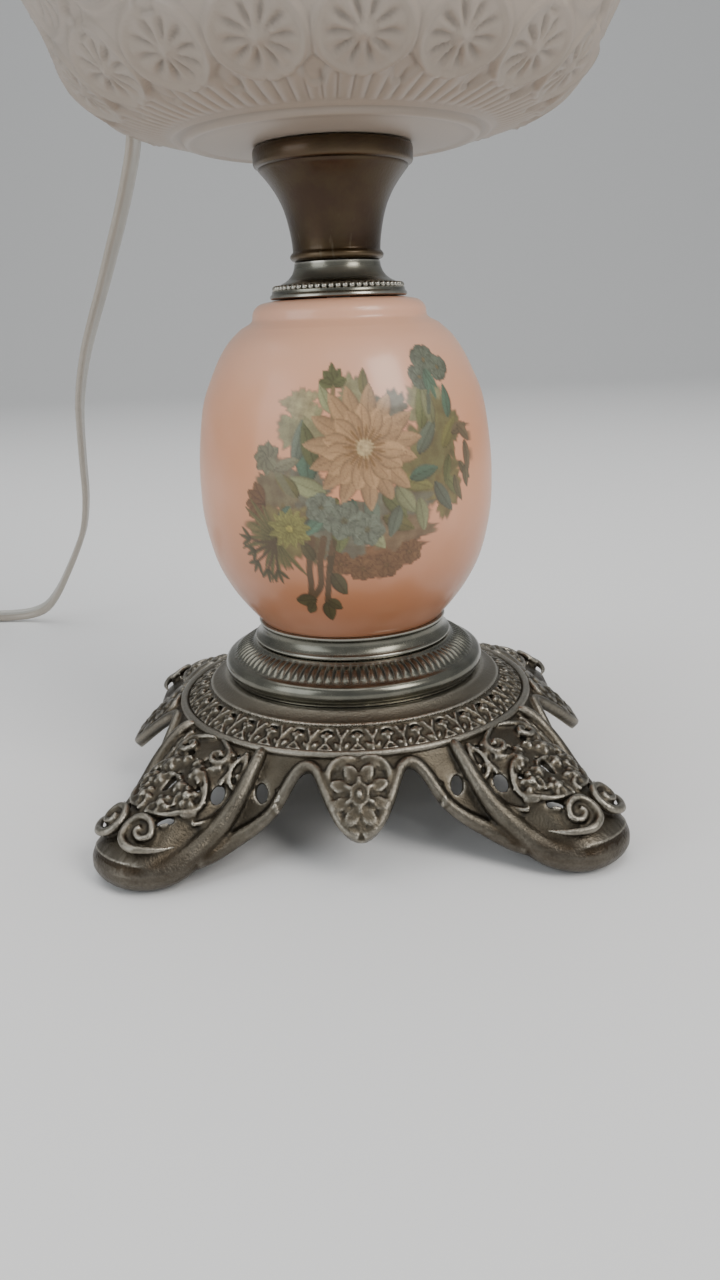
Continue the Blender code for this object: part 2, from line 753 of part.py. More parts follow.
def make_fount_collar():
    """The brass collar on the neck, its upper half threaded for a burner, and its plaster."""
    low, high = FOUNT_COLLAR_BOTTOM, FOUNT_COLLAR_TOP
    thread = COLLAR_RADIUS - COLLAR_WALL_TOP
    ledge = FOUNT_TOP + GAP
    skirt = COLLAR_RADIUS - 0.0014
    turned(
        "fount_collar",
        [
            (COLLAR_RADIUS - 0.0004, high),
            (COLLAR_RADIUS, high - 0.0006),
            (COLLAR_RADIUS - 0.0002, high - 0.0024),
            (COLLAR_RADIUS - 0.0007, high - 0.0030),
            (COLLAR_RADIUS - 0.0007, low + 0.0022),
            (COLLAR_RADIUS + 0.0010, low + 0.0006),
            (COLLAR_RADIUS + 0.0010, low),
            (skirt, low),
            (skirt - 0.0006, ledge),
            (thread, ledge + 0.0006),
            (thread, high),
        ],
        "burner_brass",
    )
    grip = FOUNT_NECK_RADIUS + GAP
    turned(
        "collar_plaster",
        [
            (skirt - 0.0006 - 2 * GAP, FOUNT_TOP - GAP),
            (skirt - GAP, low + GAP),
            (grip, low + GAP),
            (grip, FOUNT_TOP - GAP),
        ],
        "plaster",
        STEPS,
    )


# ================================================================ the electric burner
def make_thimble():
    inner = THIMBLE_RADIUS - THIMBLE_WALL
    top = FLANGE_BOTTOM + BURNER_FLANGE_THICKNESS
    turned(
        "burner_thimble",
        [
            (inner, top),
            (BURNER_FLANGE - 0.0004, top),
            (BURNER_FLANGE, top - 0.0005),
            (BURNER_FLANGE, FLANGE_BOTTOM),
            (THIMBLE_RADIUS, FLANGE_BOTTOM),
            (THIMBLE_RADIUS, FLANGE_BOTTOM - THIMBLE_DEPTH),
            (inner, FLANGE_BOTTOM - THIMBLE_DEPTH),
        ],
        "burner_brass",
    )


def bowl_point(angle, line):
    rise = [
        (THIMBLE_RADIUS - THIMBLE_WALL, 0.0),
        (BURNER_FLANGE - 0.0010, 0.0),
        (BOWL_RADIUS * 0.74, 0.12),
        (BOWL_RADIUS * 0.90, 0.34),
        (BOWL_RADIUS * 0.98, 0.66),
        (BOWL_RADIUS, 0.90),
        (BOWL_RADIUS, 1.0),
    ]
    radius, up = rise[len(rise) - 1 - line]
    return around(angle, radius, BOWL_BOTTOM + up * BOWL_HEIGHT)


def bowl_keep(column, row):
    """Air holes in two staggered rows, a window for the switch shaft and one for the cord."""
    turn = BURNER_COLUMNS // 4
    cord_column = round(-CORD_AZIMUTH / math.tau * BURNER_COLUMNS) % BURNER_COLUMNS
    if row in (2, 3):
        if column in (0, BURNER_COLUMNS - 1):
            return False
        if column in ((cord_column - 1) % BURNER_COLUMNS, cord_column):
            return False
        if column in (1, BURNER_COLUMNS - 2):
            return True
        if column in ((cord_column + 1) % BURNER_COLUMNS, (cord_column - 2) % BURNER_COLUMNS):
            return True
    if row == 2:
        return column % (turn // 3) != 2
    return True


def make_bowl():
    wrapped_sheet(
        "burner_bowl", BURNER_COLUMNS, 7, bowl_point, bowl_keep, SHEET, "burner_brass"
    )


def gallery_point(angle, line):
    fit = CHIMNEY_FOOT_RADIUS + GAP + SHEET
    rise = [
        (SOCKET_RADIUS + 0.0030, GALLERY_BOTTOM),
        (CHIMNEY_FOOT_RADIUS - 0.0050, GALLERY_BOTTOM),
        (fit, GALLERY_BOTTOM),
        (fit + 0.0012, GALLERY_BOTTOM + GALLERY_LIP),
        (fit + 0.0008, GALLERY_BOTTOM + 0.45 * PRONG_HEIGHT),
        (fit + 0.0006, GALLERY_BOTTOM + 0.80 * PRONG_HEIGHT),
        (fit + 0.0022, GALLERY_BOTTOM + PRONG_HEIGHT),
    ]
    radius, height = rise[len(rise) - 1 - line]
    return around(angle, radius, height)


def gallery_keep(column, row):
    """The floor and lip go all round, and above them only the prongs stand up."""
    if row < 3:
        spacing = BURNER_COLUMNS // PRONG_COUNT
        return abs(column % spacing - spacing / 2 + 0.5) < 1.6
    if row == 4:
        return column % 4 != 0
    return True


def make_gallery():
    wrapped_sheet(
        "gallery", BURNER_COLUMNS, 7, gallery_point, gallery_keep, SHEET, "burner_brass"
    )


def make_switch():
    turned(
        "switch_block",
        [
            (0.0, SWITCH_TOP),
            (SWITCH_RADIUS - 0.0008, SWITCH_TOP),
            (SWITCH_RADIUS, SWITCH_TOP - 0.0008),
            (SWITCH_RADIUS, SWITCH_BOTTOM),
            (0.0, SWITCH_BOTTOM),
        ],
        "phenolic",
        SMALL_STEPS,
        closed=False,
    )
    start = SWITCH_RADIUS + GAP
    wire(
        "switch_shaft",
        [(start, 0.0, SHAFT_HEIGHT), (SHAFT_REACH, 0.0, SHAFT_HEIGHT)],
        SHAFT_RADIUS,
        "burner_brass",
    )
    make_knob()


def make_knob():
    """A turn key: a round disc on the shaft's end with two sides cut flat."""
    disc = bmesh.new()
    bmesh.ops.create_cone(
        disc, cap_ends=True, segments=SMALL_STEPS, radius1=KNOB_RADIUS, radius2=KNOB_RADIUS,
        depth=KNOB_THICKNESS,
    )
    bmesh.ops.rotate(disc, matrix=Matrix.Rotation(math.pi / 2, 3, "Y"), verts=disc.verts)
    for side in (-1, 1):
        bmesh.ops.bisect_plane(
            disc,
            geom=disc.verts[:] + disc.edges[:] + disc.faces[:],
            plane_co=(0, side * KNOB_FLAT, 0),
            plane_no=(0, side, 0),
            clear_outer=True,
        )
        bmesh.ops.holes_fill(disc, edges=[edge for edge in disc.edges if edge.is_boundary])
    bmesh.ops.bevel(
        disc,
        geom=[edge for edge in disc.edges if edge.calc_face_angle(0) > math.radians(40)],
        offset=0.0006,
        segments=1,
        affect="EDGES",
    )
    made = add_object("switch_knob", as_mesh("switch_knob", disc), "burner_brass")
    made.location = (SHAFT_REACH + GAP + KNOB_THICKNESS / 2, 0.0, SHAFT_HEIGHT)


# ================================================================ socket and bulb
def make_socket():
    low, high = SOCKET_BOTTOM, SOCKET_BOTTOM + SOCKET_HEIGHT
    inner = SOCKET_RADIUS - SOCKET_WALL
    turned(
        "socket_base",
        [
            (0.0, low + SOCKET_BASE),
            (inner - GAP, low + SOCKET_BASE),
            (inner - GAP, low),
            (0.0, low),
        ],
        "porcelain",
        SMALL_STEPS,
        closed=False,
    )
    turned(
        "socket_shell",
        [
            (inner, high),
            (SOCKET_RADIUS, high),
            (SOCKET_RADIUS + 0.0006, high - 0.0010),
            (SOCKET_RADIUS, high - 0.0020),
            (SOCKET_RADIUS, low + 0.0060),
            (SOCKET_RADIUS + 0.0006, low + 0.0050),
            (SOCKET_RADIUS, low + 0.0040),
            (SOCKET_RADIUS, low),
            (inner, low),
        ],
        "burner_brass",
        SMALL_STEPS,
    )
    bore = CAP_THREAD_RADIUS + THREAD_CLEARANCE
    skin = bore + SCREW_SHELL_WALL
    liner_top = SCREW_SHELL_BOTTOM + SCREW_SHELL_DEPTH
    turned(
        "screw_shell",
        [
            (bore, liner_top),
            (skin, liner_top),
            (skin, SCREW_SHELL_BOTTOM),
            (bore - 0.0030, SCREW_SHELL_BOTTOM),
            (bore - 0.0030, SCREW_SHELL_BOTTOM + SCREW_SHELL_WALL),
            (bore, SCREW_SHELL_BOTTOM + SCREW_SHELL_WALL),
        ],
        "burner_brass",
        SMALL_STEPS,
    )
    turned(
        "socket_liner",
        [
            (skin + GAP, liner_top + 0.0016),
            (inner - GAP, liner_top + 0.0016),
            (inner - GAP, low + SOCKET_BASE + GAP),
            (skin + GAP, low + SOCKET_BASE + GAP),
        ],
        "phenolic",
        SMALL_STEPS,
    )
    turned(
        "centre_contact",
        [
            (0.0, CONTACT_TOP),
            (0.0030, CONTACT_TOP),
            (0.0045, SCREW_SHELL_BOTTOM),
            (0.0, SCREW_SHELL_BOTTOM),
        ],
        "burner_brass",
        SMALL_STEPS,
        closed=False,
    )


def make_bulb():
    low, high = BULB_TIP_BOTTOM, BULB_TIP_BOTTOM + BULB_TIP_HEIGHT
    turned(
        "bulb_tip",
        [(0.0, high), (0.0075, high), (0.0048, low + 0.0006), (0.0034, low), (0.0, low)],
        "phenolic",
        SMALL_STEPS,
        closed=False,
    )
    cap_low, cap_high = BULB_CAP_BOTTOM, BULB_CAP_TOP
    skin = CAP_THREAD_RADIUS - 0.0008
    turned(
        "bulb_cap",
        [
            (0.0, cap_low + 0.0008),
            (0.0086, cap_low + 0.0008),
            (skin, cap_low + 0.0036),
            (skin, cap_high),
            (CAP_THREAD_RADIUS, cap_high),
            (CAP_THREAD_RADIUS, cap_low + 0.0030),
            (0.0090, cap_low),
            (0.0, cap_low),
        ],
        "steel",
        SMALL_STEPS,
        closed=False,
    )
    neck = skin - GAP
    start = cap_high - 0.0060
    outside = [
        (0.0, cap_high + BULB_LENGTH),
        (0.30 * BULB_RADIUS, cap_high + 0.985 * BULB_LENGTH),
        (0.60 * BULB_RADIUS, cap_high + 0.925 * BULB_LENGTH),
        (0.85 * BULB_RADIUS, cap_high + 0.810 * BULB_LENGTH),
        (0.98 * BULB_RADIUS, cap_high + 0.660 * BULB_LENGTH),
        (BULB_RADIUS, cap_high + 0.560 * BULB_LENGTH),
        (0.95 * BULB_RADIUS, cap_high + 0.430 * BULB_LENGTH),
        (0.78 * BULB_RADIUS, cap_high + 0.260 * BULB_LENGTH),
        (0.60 * BULB_RADIUS, cap_high + 0.110 * BULB_LENGTH),
        (neck, cap_high),
        (neck, start),
    ]
    inside = [(max(radius - BULB_WALL, 0.0), height) for radius, height in outside[::-1]]
    inside[-1] = (0.0, outside[0][1] - BULB_WALL)
    inside[-2] = (inside[-2][0], inside[-2][1] - BULB_WALL)
    inside[-3] = (inside[-3][0], inside[-3][1] - 0.5 * BULB_WALL)
    turned("bulb_glass", outside + inside, "bulb_glass", SMALL_STEPS, closed=False)


def make_chimney():
    """A lamp chimney: a straight foot that the prongs hold, a bulge, and a long tapering neck."""
    low, tall = CHIMNEY_BOTTOM, CHIMNEY_HEIGHT
    foot, bulge, waist = CHIMNEY_FOOT_RADIUS, CHIMNEY_BULGE, CHIMNEY_WAIST
    outside = [
        (waist + 0.0030, low + tall),
        (waist + 0.0006, low + 0.955 * tall),
        (waist, low + 0.860 * tall),
        (waist + 0.0013, low + 0.750 * tall),
        (0.80 * waist + 0.20 * bulge, low + 0.640 * tall),
        (0.56 * waist + 0.44 * bulge, low + 0.540 * tall),
        (0.26 * waist + 0.74 * bulge, low + 0.440 * tall),
        (0.97 * bulge, low + 0.340 * tall),
        (bulge, low + 0.280 * tall),
        (0.97 * bulge, low + 0.215 * tall),
        (0.42 * foot + 0.58 * bulge, low + 0.150 * tall),
        (foot + 0.0008, low + 0.105 * tall),
        (foot - 0.0006, low + 0.070 * tall),
        (foot, low),
    ]
    inside = [(radius - CHIMNEY_WALL, height) for radius, height in outside[::-1]]
    turned("chimney", outside + inside, "clear_glass")


# ================================================================ cord and plug
def make_cord():
    ahead = Vector((math.cos(CORD_AZIMUTH), math.sin(CORD_AZIMUTH), 0.0))
    exit_point = around(CORD_AZIMUTH, BUSHING_REACH, SHAFT_HEIGHT)
    start = exit_point - ahead * BUSHING_LENGTH
    make_bushing(start, ahead)
    for name, side in (("lead_live", -1), ("lead_neutral", 1)):
        aside = Vector((-ahead.y, ahead.x, 0.0)) * side * 0.0016
        outer = start - ahead * GAP + aside
        inner = outer - ahead * (outer.to_2d().length - SWITCH_RADIUS - GAP)
        middle = outer.lerp(inner, 0.5) + Vector((0.0, 0.0, LEAD_RADIUS))
        wire(name, [inner, middle, outer], LEAD_RADIUS, "cord_plastic", 1)
    centre = Vector((*COIL_CENTRE, 0.0))
    coil_edge = COIL_MIDDLE + COIL_THICKNESS / 2
    route = [exit_point + ahead * GAP] + CORD_ROUTE
    points = smooth_route(route, 2.5 * 2 * CORD_RADIUS)
    reach = coil_edge + GAP + CORD_RADIUS
    points = [p for p in points if (p - centre).to_2d().length > reach]
    wire("cord_run", points, CORD_RADIUS, "cord_plastic", 2)
    make_coil(centre, coil_edge)


def make_bushing(start, ahead):
    """The tapered strain relief in the burner's wall, its wide end inside."""
    length = BUSHING_LENGTH
    made = turned(
        "cord_bushing",
        [
            (0.0, length),
            (CORD_RADIUS + 0.0005, length),
            (BUSHING_RADIUS - 0.0006, 0.32 * length),
            (BUSHING_RADIUS, 0.28 * length),
            (BUSHING_RADIUS, 0.22 * length),
            (CORD_RADIUS + 0.0006, 0.21 * length),
            (CORD_RADIUS + 0.0006, 0.0),
            (0.0, 0.0),
        ],
        "phenolic",
        SMALL_STEPS // 2,
        closed=False,
    )
    made.matrix_world = Matrix.Translation(start) @ ahead.to_track_quat("Z", "Y").to_matrix().to_4x4()


def make_coil(centre, coil_edge):
    inner = COIL_MIDDLE - COIL_THICKNESS / 2
    rounding = 0.25 * COIL_HEIGHT
    coil = turned(
        "cord_coil",
        [
            (inner + rounding, COIL_HEIGHT),
            (coil_edge - rounding, COIL_HEIGHT),
            (coil_edge, COIL_HEIGHT - rounding),
            (coil_edge, rounding),
            (coil_edge - rounding, 0.0),
            (inner + rounding, 0.0),
            (inner, rounding),
            (inner, COIL_HEIGHT - rounding),
        ],
        "cord_plastic",
        SMALL_STEPS,
    )
    coil.location = centre
    length, width, thickness = PLUG_SIZE
    middle = COIL_HEIGHT + GAP + thickness / 2
    seat = centre + Vector((0.0, -COIL_MIDDLE, middle))
    block("plug_body", PLUG_SIZE, seat, "cord_plastic", bevel=0.0022)
    for name, side in (("plug_blade_left", 1), ("plug_blade_right", -1)):
        blade = seat + Vector((length / 2 + GAP + PRONG_SIZE[0] / 2, side * PRONG_SPACING / 2, 0.0))
        size = (PRONG_SIZE[0], PRONG_SIZE[2], PRONG_SIZE[1])
        block(name, size, blade, "burner_brass", bevel=0.0004)
    back = seat - Vector((length / 2 + GAP, 0.0, 0.0))
    rest = COIL_HEIGHT + GAP + CORD_RADIUS
    route = [back - Vector((0.15 * TAIL_LENGTH, 0.0, 0.0))]
    for k in (0, 1, 2):
        angle = -math.pi / 2 - (length / 2 + (0.25 + 0.35 * k) * TAIL_LENGTH) / COIL_MIDDLE
        spot = centre + around(angle, COIL_MIDDLE + 0.0018 * (2 - k), rest)
        route.append(spot)
    points = [back] + smooth_route(route, 2 * CORD_RADIUS)
    wire("cord_tail", points, CORD_RADIUS, "cord_plastic", 2)


clear_scene()
LAMP = new_collection("parlour_oil_lamp")
CUTTERS = new_collection("cutters")
make_base()
make_tie_rod()
make_gadroon_collar()
make_seat_ring()
make_glass_stem()
make_cap_ring()
make_connector()
make_fount()
make_peg_plaster()
make_fount_collar()
make_thimble()
make_bowl()
make_gallery()
make_switch()
make_socket()
make_bulb()
make_chimney()
make_cord()
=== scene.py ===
# %% [markdown]
# # An electrified parlour oil lamp
# A pierced casting carries a collar, a painted glass stem, a beaded cap and a brown trumpet. The
# trumpet holds a pressed glass fount, and an electric burner with its chimney screws into that.
# This lesson dresses the measured model of the lamp: each visible piece is modelled again with its
# real detail, in the place where the measured one stands, and gets a finish made from nodes.

import math

import bpy
import numpy as np
from mathutils import Matrix, Vector


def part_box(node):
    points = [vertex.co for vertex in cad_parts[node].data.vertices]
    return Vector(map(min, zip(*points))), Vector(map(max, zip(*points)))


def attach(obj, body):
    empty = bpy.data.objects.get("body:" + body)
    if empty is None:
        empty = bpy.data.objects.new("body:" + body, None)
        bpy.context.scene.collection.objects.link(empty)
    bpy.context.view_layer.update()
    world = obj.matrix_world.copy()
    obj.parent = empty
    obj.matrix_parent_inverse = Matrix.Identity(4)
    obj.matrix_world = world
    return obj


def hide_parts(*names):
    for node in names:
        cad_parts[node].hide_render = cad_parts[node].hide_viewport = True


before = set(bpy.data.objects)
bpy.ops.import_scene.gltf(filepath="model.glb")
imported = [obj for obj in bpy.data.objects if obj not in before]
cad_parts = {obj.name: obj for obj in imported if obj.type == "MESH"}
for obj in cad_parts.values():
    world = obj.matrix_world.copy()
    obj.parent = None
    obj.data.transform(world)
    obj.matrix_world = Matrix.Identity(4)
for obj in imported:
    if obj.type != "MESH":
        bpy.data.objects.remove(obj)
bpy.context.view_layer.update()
MM = 0.001
TAU = math.tau

# %% [markdown]
# ## The camera
# The lamp is seen from just in front, a little above the stem, with the upper half out of the
# picture. A camera is a position, three turns and a focal length. The turns are made into one
# matrix here, because a camera looks along its own -Z with +Y up.

# %% Place the camera
CAMERA_PLACE = Vector((0.0, -292.07, 136.71)) * MM
CAMERA_YAW = math.radians(0.41)
CAMERA_DIP = math.radians(17.722)
CAMERA_ROLL = math.radians(-2.296)


def place_camera():
    data = bpy.data.cameras.new("camera")
    data.sensor_width = 36.0
    data.lens = 28.137
    data.clip_start = 0.01
    camera = bpy.data.objects.new("camera", data)
    bpy.context.scene.collection.objects.link(camera)
    turn = Matrix.Rotation(-CAMERA_YAW, 4, "Z") @ Matrix.Rotation(TAU / 4 - CAMERA_DIP, 4, "X")
    roll = Matrix.Rotation(CAMERA_ROLL, 4, "Z")
    camera.matrix_world = Matrix.Translation(CAMERA_PLACE) @ turn @ roll
    bpy.context.scene.camera = camera
    print("camera at", tuple(round(c, 3) for c in CAMERA_PLACE))


place_camera()

# %% [markdown]
# ## Small helpers
# Operators act on what is selected, so a helper picks exactly the objects that the next operator
# needs. Smooth curves through a few points are wanted everywhere, so one helper makes them.


# %% Helpers for picking and for smooth lines
def pick(*objects):
    bpy.ops.object.select_all(action="DESELECT")
    for piece in objects:
        piece.select_set(True)
    bpy.context.view_layer.objects.active = objects[0]
    return objects[0]


def edit(piece, how="SELECT"):
    pick(piece)
    bpy.ops.object.mode_set(mode="EDIT")
    bpy.ops.mesh.select_mode(type="VERT")
    bpy.ops.mesh.select_all(action=how)


def leave_edit():
    bpy.ops.object.mode_set(mode="OBJECT")


def settle(piece, name=None):
    """The piece's place goes into its mesh, and its object to the origin."""
    pick(piece)
    bpy.ops.object.transform_apply(location=True, rotation=True, scale=True)
    if name:
        piece.name = piece.data.name = name
    return piece


def join(name, pieces):
    pick(*pieces)
    bpy.ops.object.join()
    joined = bpy.context.object
    joined.name = joined.data.name = name
    return joined


def smooth_line(points, per=8):
    """Many points along a smooth curve through a few."""
    points = np.array(points, float)
    ends = np.vstack([2 * points[0] - points[1], points, 2 * points[-1] - points[-2]])
    found = []
    for i in range(1, len(ends) - 2):
        a, b, c, d = ends[i - 1 : i + 3]
        for t in np.arange(per) / per:
            found.append(
                0.5
                * (
                    2 * b
                    + (c - a) * t
                    + (2 * a - 5 * b + 4 * c - d) * t**2
                    + (3 * b - a - 3 * c + d) * t**3
                )
            )
    found.append(points[-1])
    return np.array(found)


def points_of(piece):
    flat = np.empty(len(piece.data.vertices) * 3)
    piece.data.vertices.foreach_get("co", flat)
    return flat.reshape(-1, 3)


def move_points(piece, places):
    piece.data.vertices.foreach_set("co", np.asarray(places, float).ravel())
    piece.data.update()


def smooth_faces(piece, degrees=40):
    pick(piece)
    bpy.ops.object.shade_smooth_by_angle(angle=math.radians(degrees))
    return piece


def finished(piece, body, slot, *nodes):
    """The piece gets its finish and rides on its body, in place of its measured nodes."""
    piece.data.materials.clear()
    piece.data.materials.append(LOOKS[slot])
    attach(piece, body)
    if nodes:
        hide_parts(*nodes)
    print(f"{piece.name}: {len(piece.data.polygons)} faces")
    return piece


def turned(name, outline, steps=128, closed=False, angle=TAU, start=0.0, more=None):
    """A solid of revolution: a point is extruded along the outline, which is then spun."""
    bpy.ops.object.select_all(action="DESELECT")
    bpy.ops.mesh.primitive_plane_add(size=1.0)
    piece = bpy.context.object
    edit(piece)
    bpy.ops.mesh.merge(type="CENTER")
    way = np.array([math.cos(start), math.sin(start)])
    corners = [np.array([*(radius * way), height]) * MM for radius, height in outline]
    bpy.ops.transform.translate(value=tuple(corners[0]))
    for a, b in zip(corners, corners[1:] + (corners[:1] if closed else [])):
        bpy.ops.mesh.extrude_region_move(TRANSFORM_OT_translate={"value": tuple(b - a)})
    bpy.ops.mesh.select_all(action="SELECT")
    bpy.ops.mesh.spin(steps=steps, angle=angle, center=(0, 0, 0), axis=(0, 0, 1))
    if more:
        bpy.ops.mesh.spin(steps=more, angle=TAU - angle, center=(0, 0, 0), axis=(0, 0, 1))
    bpy.ops.mesh.select_all(action="SELECT")
    bpy.ops.mesh.remove_doubles(threshold=0.000008)
    bpy.ops.mesh.normals_make_consistent(inside=False)
    leave_edit()
    piece.name = piece.data.name = name
    return settle(piece)


def polar(places):
    """(radius in mm, angle, height in mm) of each point."""
    x, y, z = places.T / MM
    return np.hypot(x, y), np.arctan2(y, x), z


def from_polar(radius, angle, height):
    return np.column_stack([radius * np.cos(angle), radius * np.sin(angle), height]) * MM


def hump(value, middle, half):
    """One at the middle, falling smoothly to zero half a width away."""
    share = np.clip(np.abs(np.asarray(value) - middle) / half, 0, 1)
    return (1 - share * share) ** 2


def ramp(value, low, high):
    share = np.clip((np.asarray(value) - low) / (high - low), 0, 1)
    return share * share * (3 - 2 * share)


# %% [markdown]
# ## Shader arithmetic
# A finish is mostly a few formulas over noise. `Wire` wraps one socket, and arithmetic on it adds
# Math nodes, so `0.3 + 0.2 * grain` makes two of them. `Finish.add` makes every other node from
# its type, its settings and its inputs.


# %% Shader arithmetic
def plug_in(tree, slot, term):
    if isinstance(term, Wire):
        tree.links.new(term.socket, slot)
    elif slot.type == "RGBA":
        slot.default_value = (*term, 1.0)[:4]
    else:
        slot.default_value = term


class Wire:
    """One value in a shader, which can be reckoned with."""

    def __init__(self, tree, socket):
        self.tree, self.socket = tree, socket

    def reckon(self, how, *terms):
        node = self.tree.nodes.new("ShaderNodeMath")
        node.operation = how
        for slot, term in zip(node.inputs, terms):
            plug_in(self.tree, slot, term)
        return Wire(self.tree, node.outputs[0])

    def __add__(self, other):
        return self.reckon("ADD", self, other)

    def __radd__(self, other):
        return self.reckon("ADD", other, self)

    def __sub__(self, other):
        return self.reckon("SUBTRACT", self, other)

    def __rsub__(self, other):
        return self.reckon("SUBTRACT", other, self)

    def __mul__(self, other):
        return self.reckon("MULTIPLY", self, other)

    def __rmul__(self, other):
        return self.reckon("MULTIPLY", other, self)


class Finish:
    """A material put together from nodes. Sizes are in millimetres."""

    def __init__(self, name, surface):
        self.material = bpy.data.materials.new(name)
        self.material.use_nodes = True
        self.tree = self.material.node_tree
        self.tree.nodes.clear()
        self.body = self.add("BsdfPrincipled", {}, surface)
        self.end = self.tree.nodes.new("ShaderNodeOutputMaterial")
        self.tree.links.new(self.body.socket, self.end.inputs["Surface"])

    def add(self, kind, settings=None, inputs=None, output=0):
        node = self.tree.nodes.new("ShaderNode" + kind)
        for key, value in (settings or {}).items():
            setattr(node, key, value)
        for key, value in (inputs or {}).items():
            plug_in(self.tree, node.inputs[key], value)
        return Wire(self.tree, node.outputs[output])

    def vary(self, **terms):
        names = {"color": "Base Color", "coat": "Coat Weight", "normal": "Normal"}
        for name, term in terms.items():
            slot = self.body.socket.node.inputs[names.get(name, name.title())]
            plug_in(self.tree, slot, term)

    def place(self, stretch=(1, 1, 1)):
        spot = self.add("TexCoord", {}, {}, "Object")
        return self.add(
            "Mapping", {"vector_type": "POINT"},
            {"Vector": spot, "Scale": tuple(1000 * s for s in stretch)},
        )

    def axis(self, which):
        return self.add("SeparateXYZ", {}, {"Vector": self.place()}, which)

    def noise(self, size, detail=2.0, stretch=(1, 1, 1)):
        inputs = {"Vector": self.place(stretch), "Scale": 1 / size, "Detail": detail}
        return self.add("TexNoise", {}, inputs)

    def between(self, value, low, high):
        """0 below low, 1 above high, and smooth between."""
        inputs = {"Value": value, "From Min": low, "From Max": high}
        return self.add("MapRange", {"interpolation_type": "SMOOTHSTEP"}, inputs)

    def mix(self, share, first, second, blend="MIX"):
        settings = {"data_type": "RGBA", "blend_type": blend}
        return self.add("Mix", settings, {0: share, 6: first, 7: second}, 2)

    def bump(self, height, depth):
        inputs = {"Height": height, "Distance": depth * MM, "Strength": 1.0}
        return self.add("Bump", {}, inputs)

    def by_relief(self, low, high):
        """How proud of its surroundings a point stands."""
        return self.between(self.add("NewGeometry", {}, {}, "Pointiness"), low, high)


LOOKS = {}

# %% [markdown]
# ## Antique metals
# The casting was plated dark and polished by hands since: the hollows keep a dull olive dirt,
# which painted shade darkens to near black, and the ridges are lighter from wear and a painted
# highlight. Its feet are darkened by a painted reflection of a dark table. The spun collars are
# smoother, with faint turning lines, and carry the same painted shade in their hollows and painted
# highlight on their edges. The trumpet has a brown lacquer over brass.


# %% Mix the metals
def antique_casting():
    look = Finish("antique casting", {"Metallic": 1.0, "IOR": 1.5})
    patches = look.noise(9.0, 3)
    grain = look.noise(0.7, 3)
    proud = look.by_relief(0.495, 0.56)
    deep = 1.0 - look.by_relief(0.43, 0.50)
    warm = look.mix(look.between(patches, 0.35, 0.7), (0.066, 0.056, 0.041), (0.096, 0.082, 0.060))
    plain = look.between(look.axis("Z"), 32.5, 34.0)
    warm = look.mix(plain, warm, (0.150, 0.134, 0.104))
    # Darker towards the feet: a painted reflection of a dark table.
    warm = look.mix(look.between(look.axis("Z"), 14, 6), warm, (0.040, 0.029, 0.019))
    # Near black in the hollows: dirt, and painted shade.
    dirt_and_shade = look.mix(deep * (0.6 + 0.4 * grain), warm, (0.011, 0.009, 0.006))
    # Lighter on the ridges: wear, and a painted highlight.
    bright = look.mix(proud * (0.35 + 0.75 * grain), dirt_and_shade, (0.46, 0.43, 0.365))
    look.vary(
        color=bright,
        metallic=1.0 - 0.45 * deep,
        roughness=0.40 + 0.22 * deep - 0.13 * proud + 0.12 * (grain - 0.5),
        normal=look.bump(look.noise(0.55, 4) + 0.8 * look.noise(1.9, 2), 0.16),
    )
    return look.material


def antique_collar():
    look = Finish("antique collar", {"Metallic": 1.0})
    cloud = look.noise(7.0, 4)
    rings = look.noise(0.35, 2, (0.02, 0.02, 1))
    specks = look.between(look.noise(0.9, 3), 0.62, 0.75)
    proud = look.by_relief(0.505, 0.60)
    deep = 1.0 - look.by_relief(0.45, 0.502)
    base = look.mix(look.between(cloud, 0.3, 0.7), (0.125, 0.124, 0.103), (0.190, 0.184, 0.150))
    # Near black in the hollows: dirt, and painted shade.
    dirt_and_shade = look.mix(deep, base, (0.024, 0.023, 0.017))
    stained = look.mix(0.5 * specks, dirt_and_shade, (0.10, 0.095, 0.075))
    look.vary(
        # Lighter on the proud edges: wear, and a painted highlight.
        color=look.mix(0.8 * proud, stained, (0.50, 0.48, 0.42)),
        metallic=1.0 - 0.85 * deep,
        roughness=0.17 + 0.10 * cloud + 0.10 * specks + 0.35 * deep,
        normal=look.bump(rings + 0.3 * look.noise(0.6, 3), 0.02),
    )
    return look.material


def aged_brass():
    surface = {"Metallic": 0.85, "Coat Roughness": 0.22, "Coat IOR": 1.5}
    look = Finish("brown lacquered brass", surface)
    cloud = look.noise(8.0, 4)
    streak = look.noise(1.6, 3, (1, 1, 0.18))
    lacquer = look.mix(look.between(cloud, 0.35, 0.65), (0.036, 0.016, 0.005), (0.047, 0.027, 0.008))
    rubbed = look.between(streak, 0.58, 0.74) * look.between(look.axis("Z"), 166, 154)
    by_relief = look.mix(0.65 * look.by_relief(0.51, 0.58), lacquer, (0.15, 0.105, 0.055))
    look.vary(
        color=look.mix(0.6 * rubbed, by_relief, (0.13, 0.105, 0.07)),
        roughness=0.30 + 0.14 * cloud + 0.12 * rubbed,
        coat=0.38 - 0.25 * rubbed,
        normal=look.bump(look.noise(0.7, 4) + look.noise(4.0, 2), 0.05),
    )
    return look.material


def burner_brass():
    look = Finish("burner brass", {"Metallic": 1.0})
    tarnish = look.between(look.noise(6.0, 5), 0.45, 0.72)
    rings = look.noise(0.3, 2, (0.03, 0.03, 1))
    look.vary(
        color=look.mix(tarnish, (0.62, 0.43, 0.16), (0.33, 0.21, 0.08)),
        roughness=0.20 + 0.20 * tarnish + 0.08 * rings,
        normal=look.bump(rings + 0.4 * look.noise(0.5, 2), 0.02),
    )
    return look.material


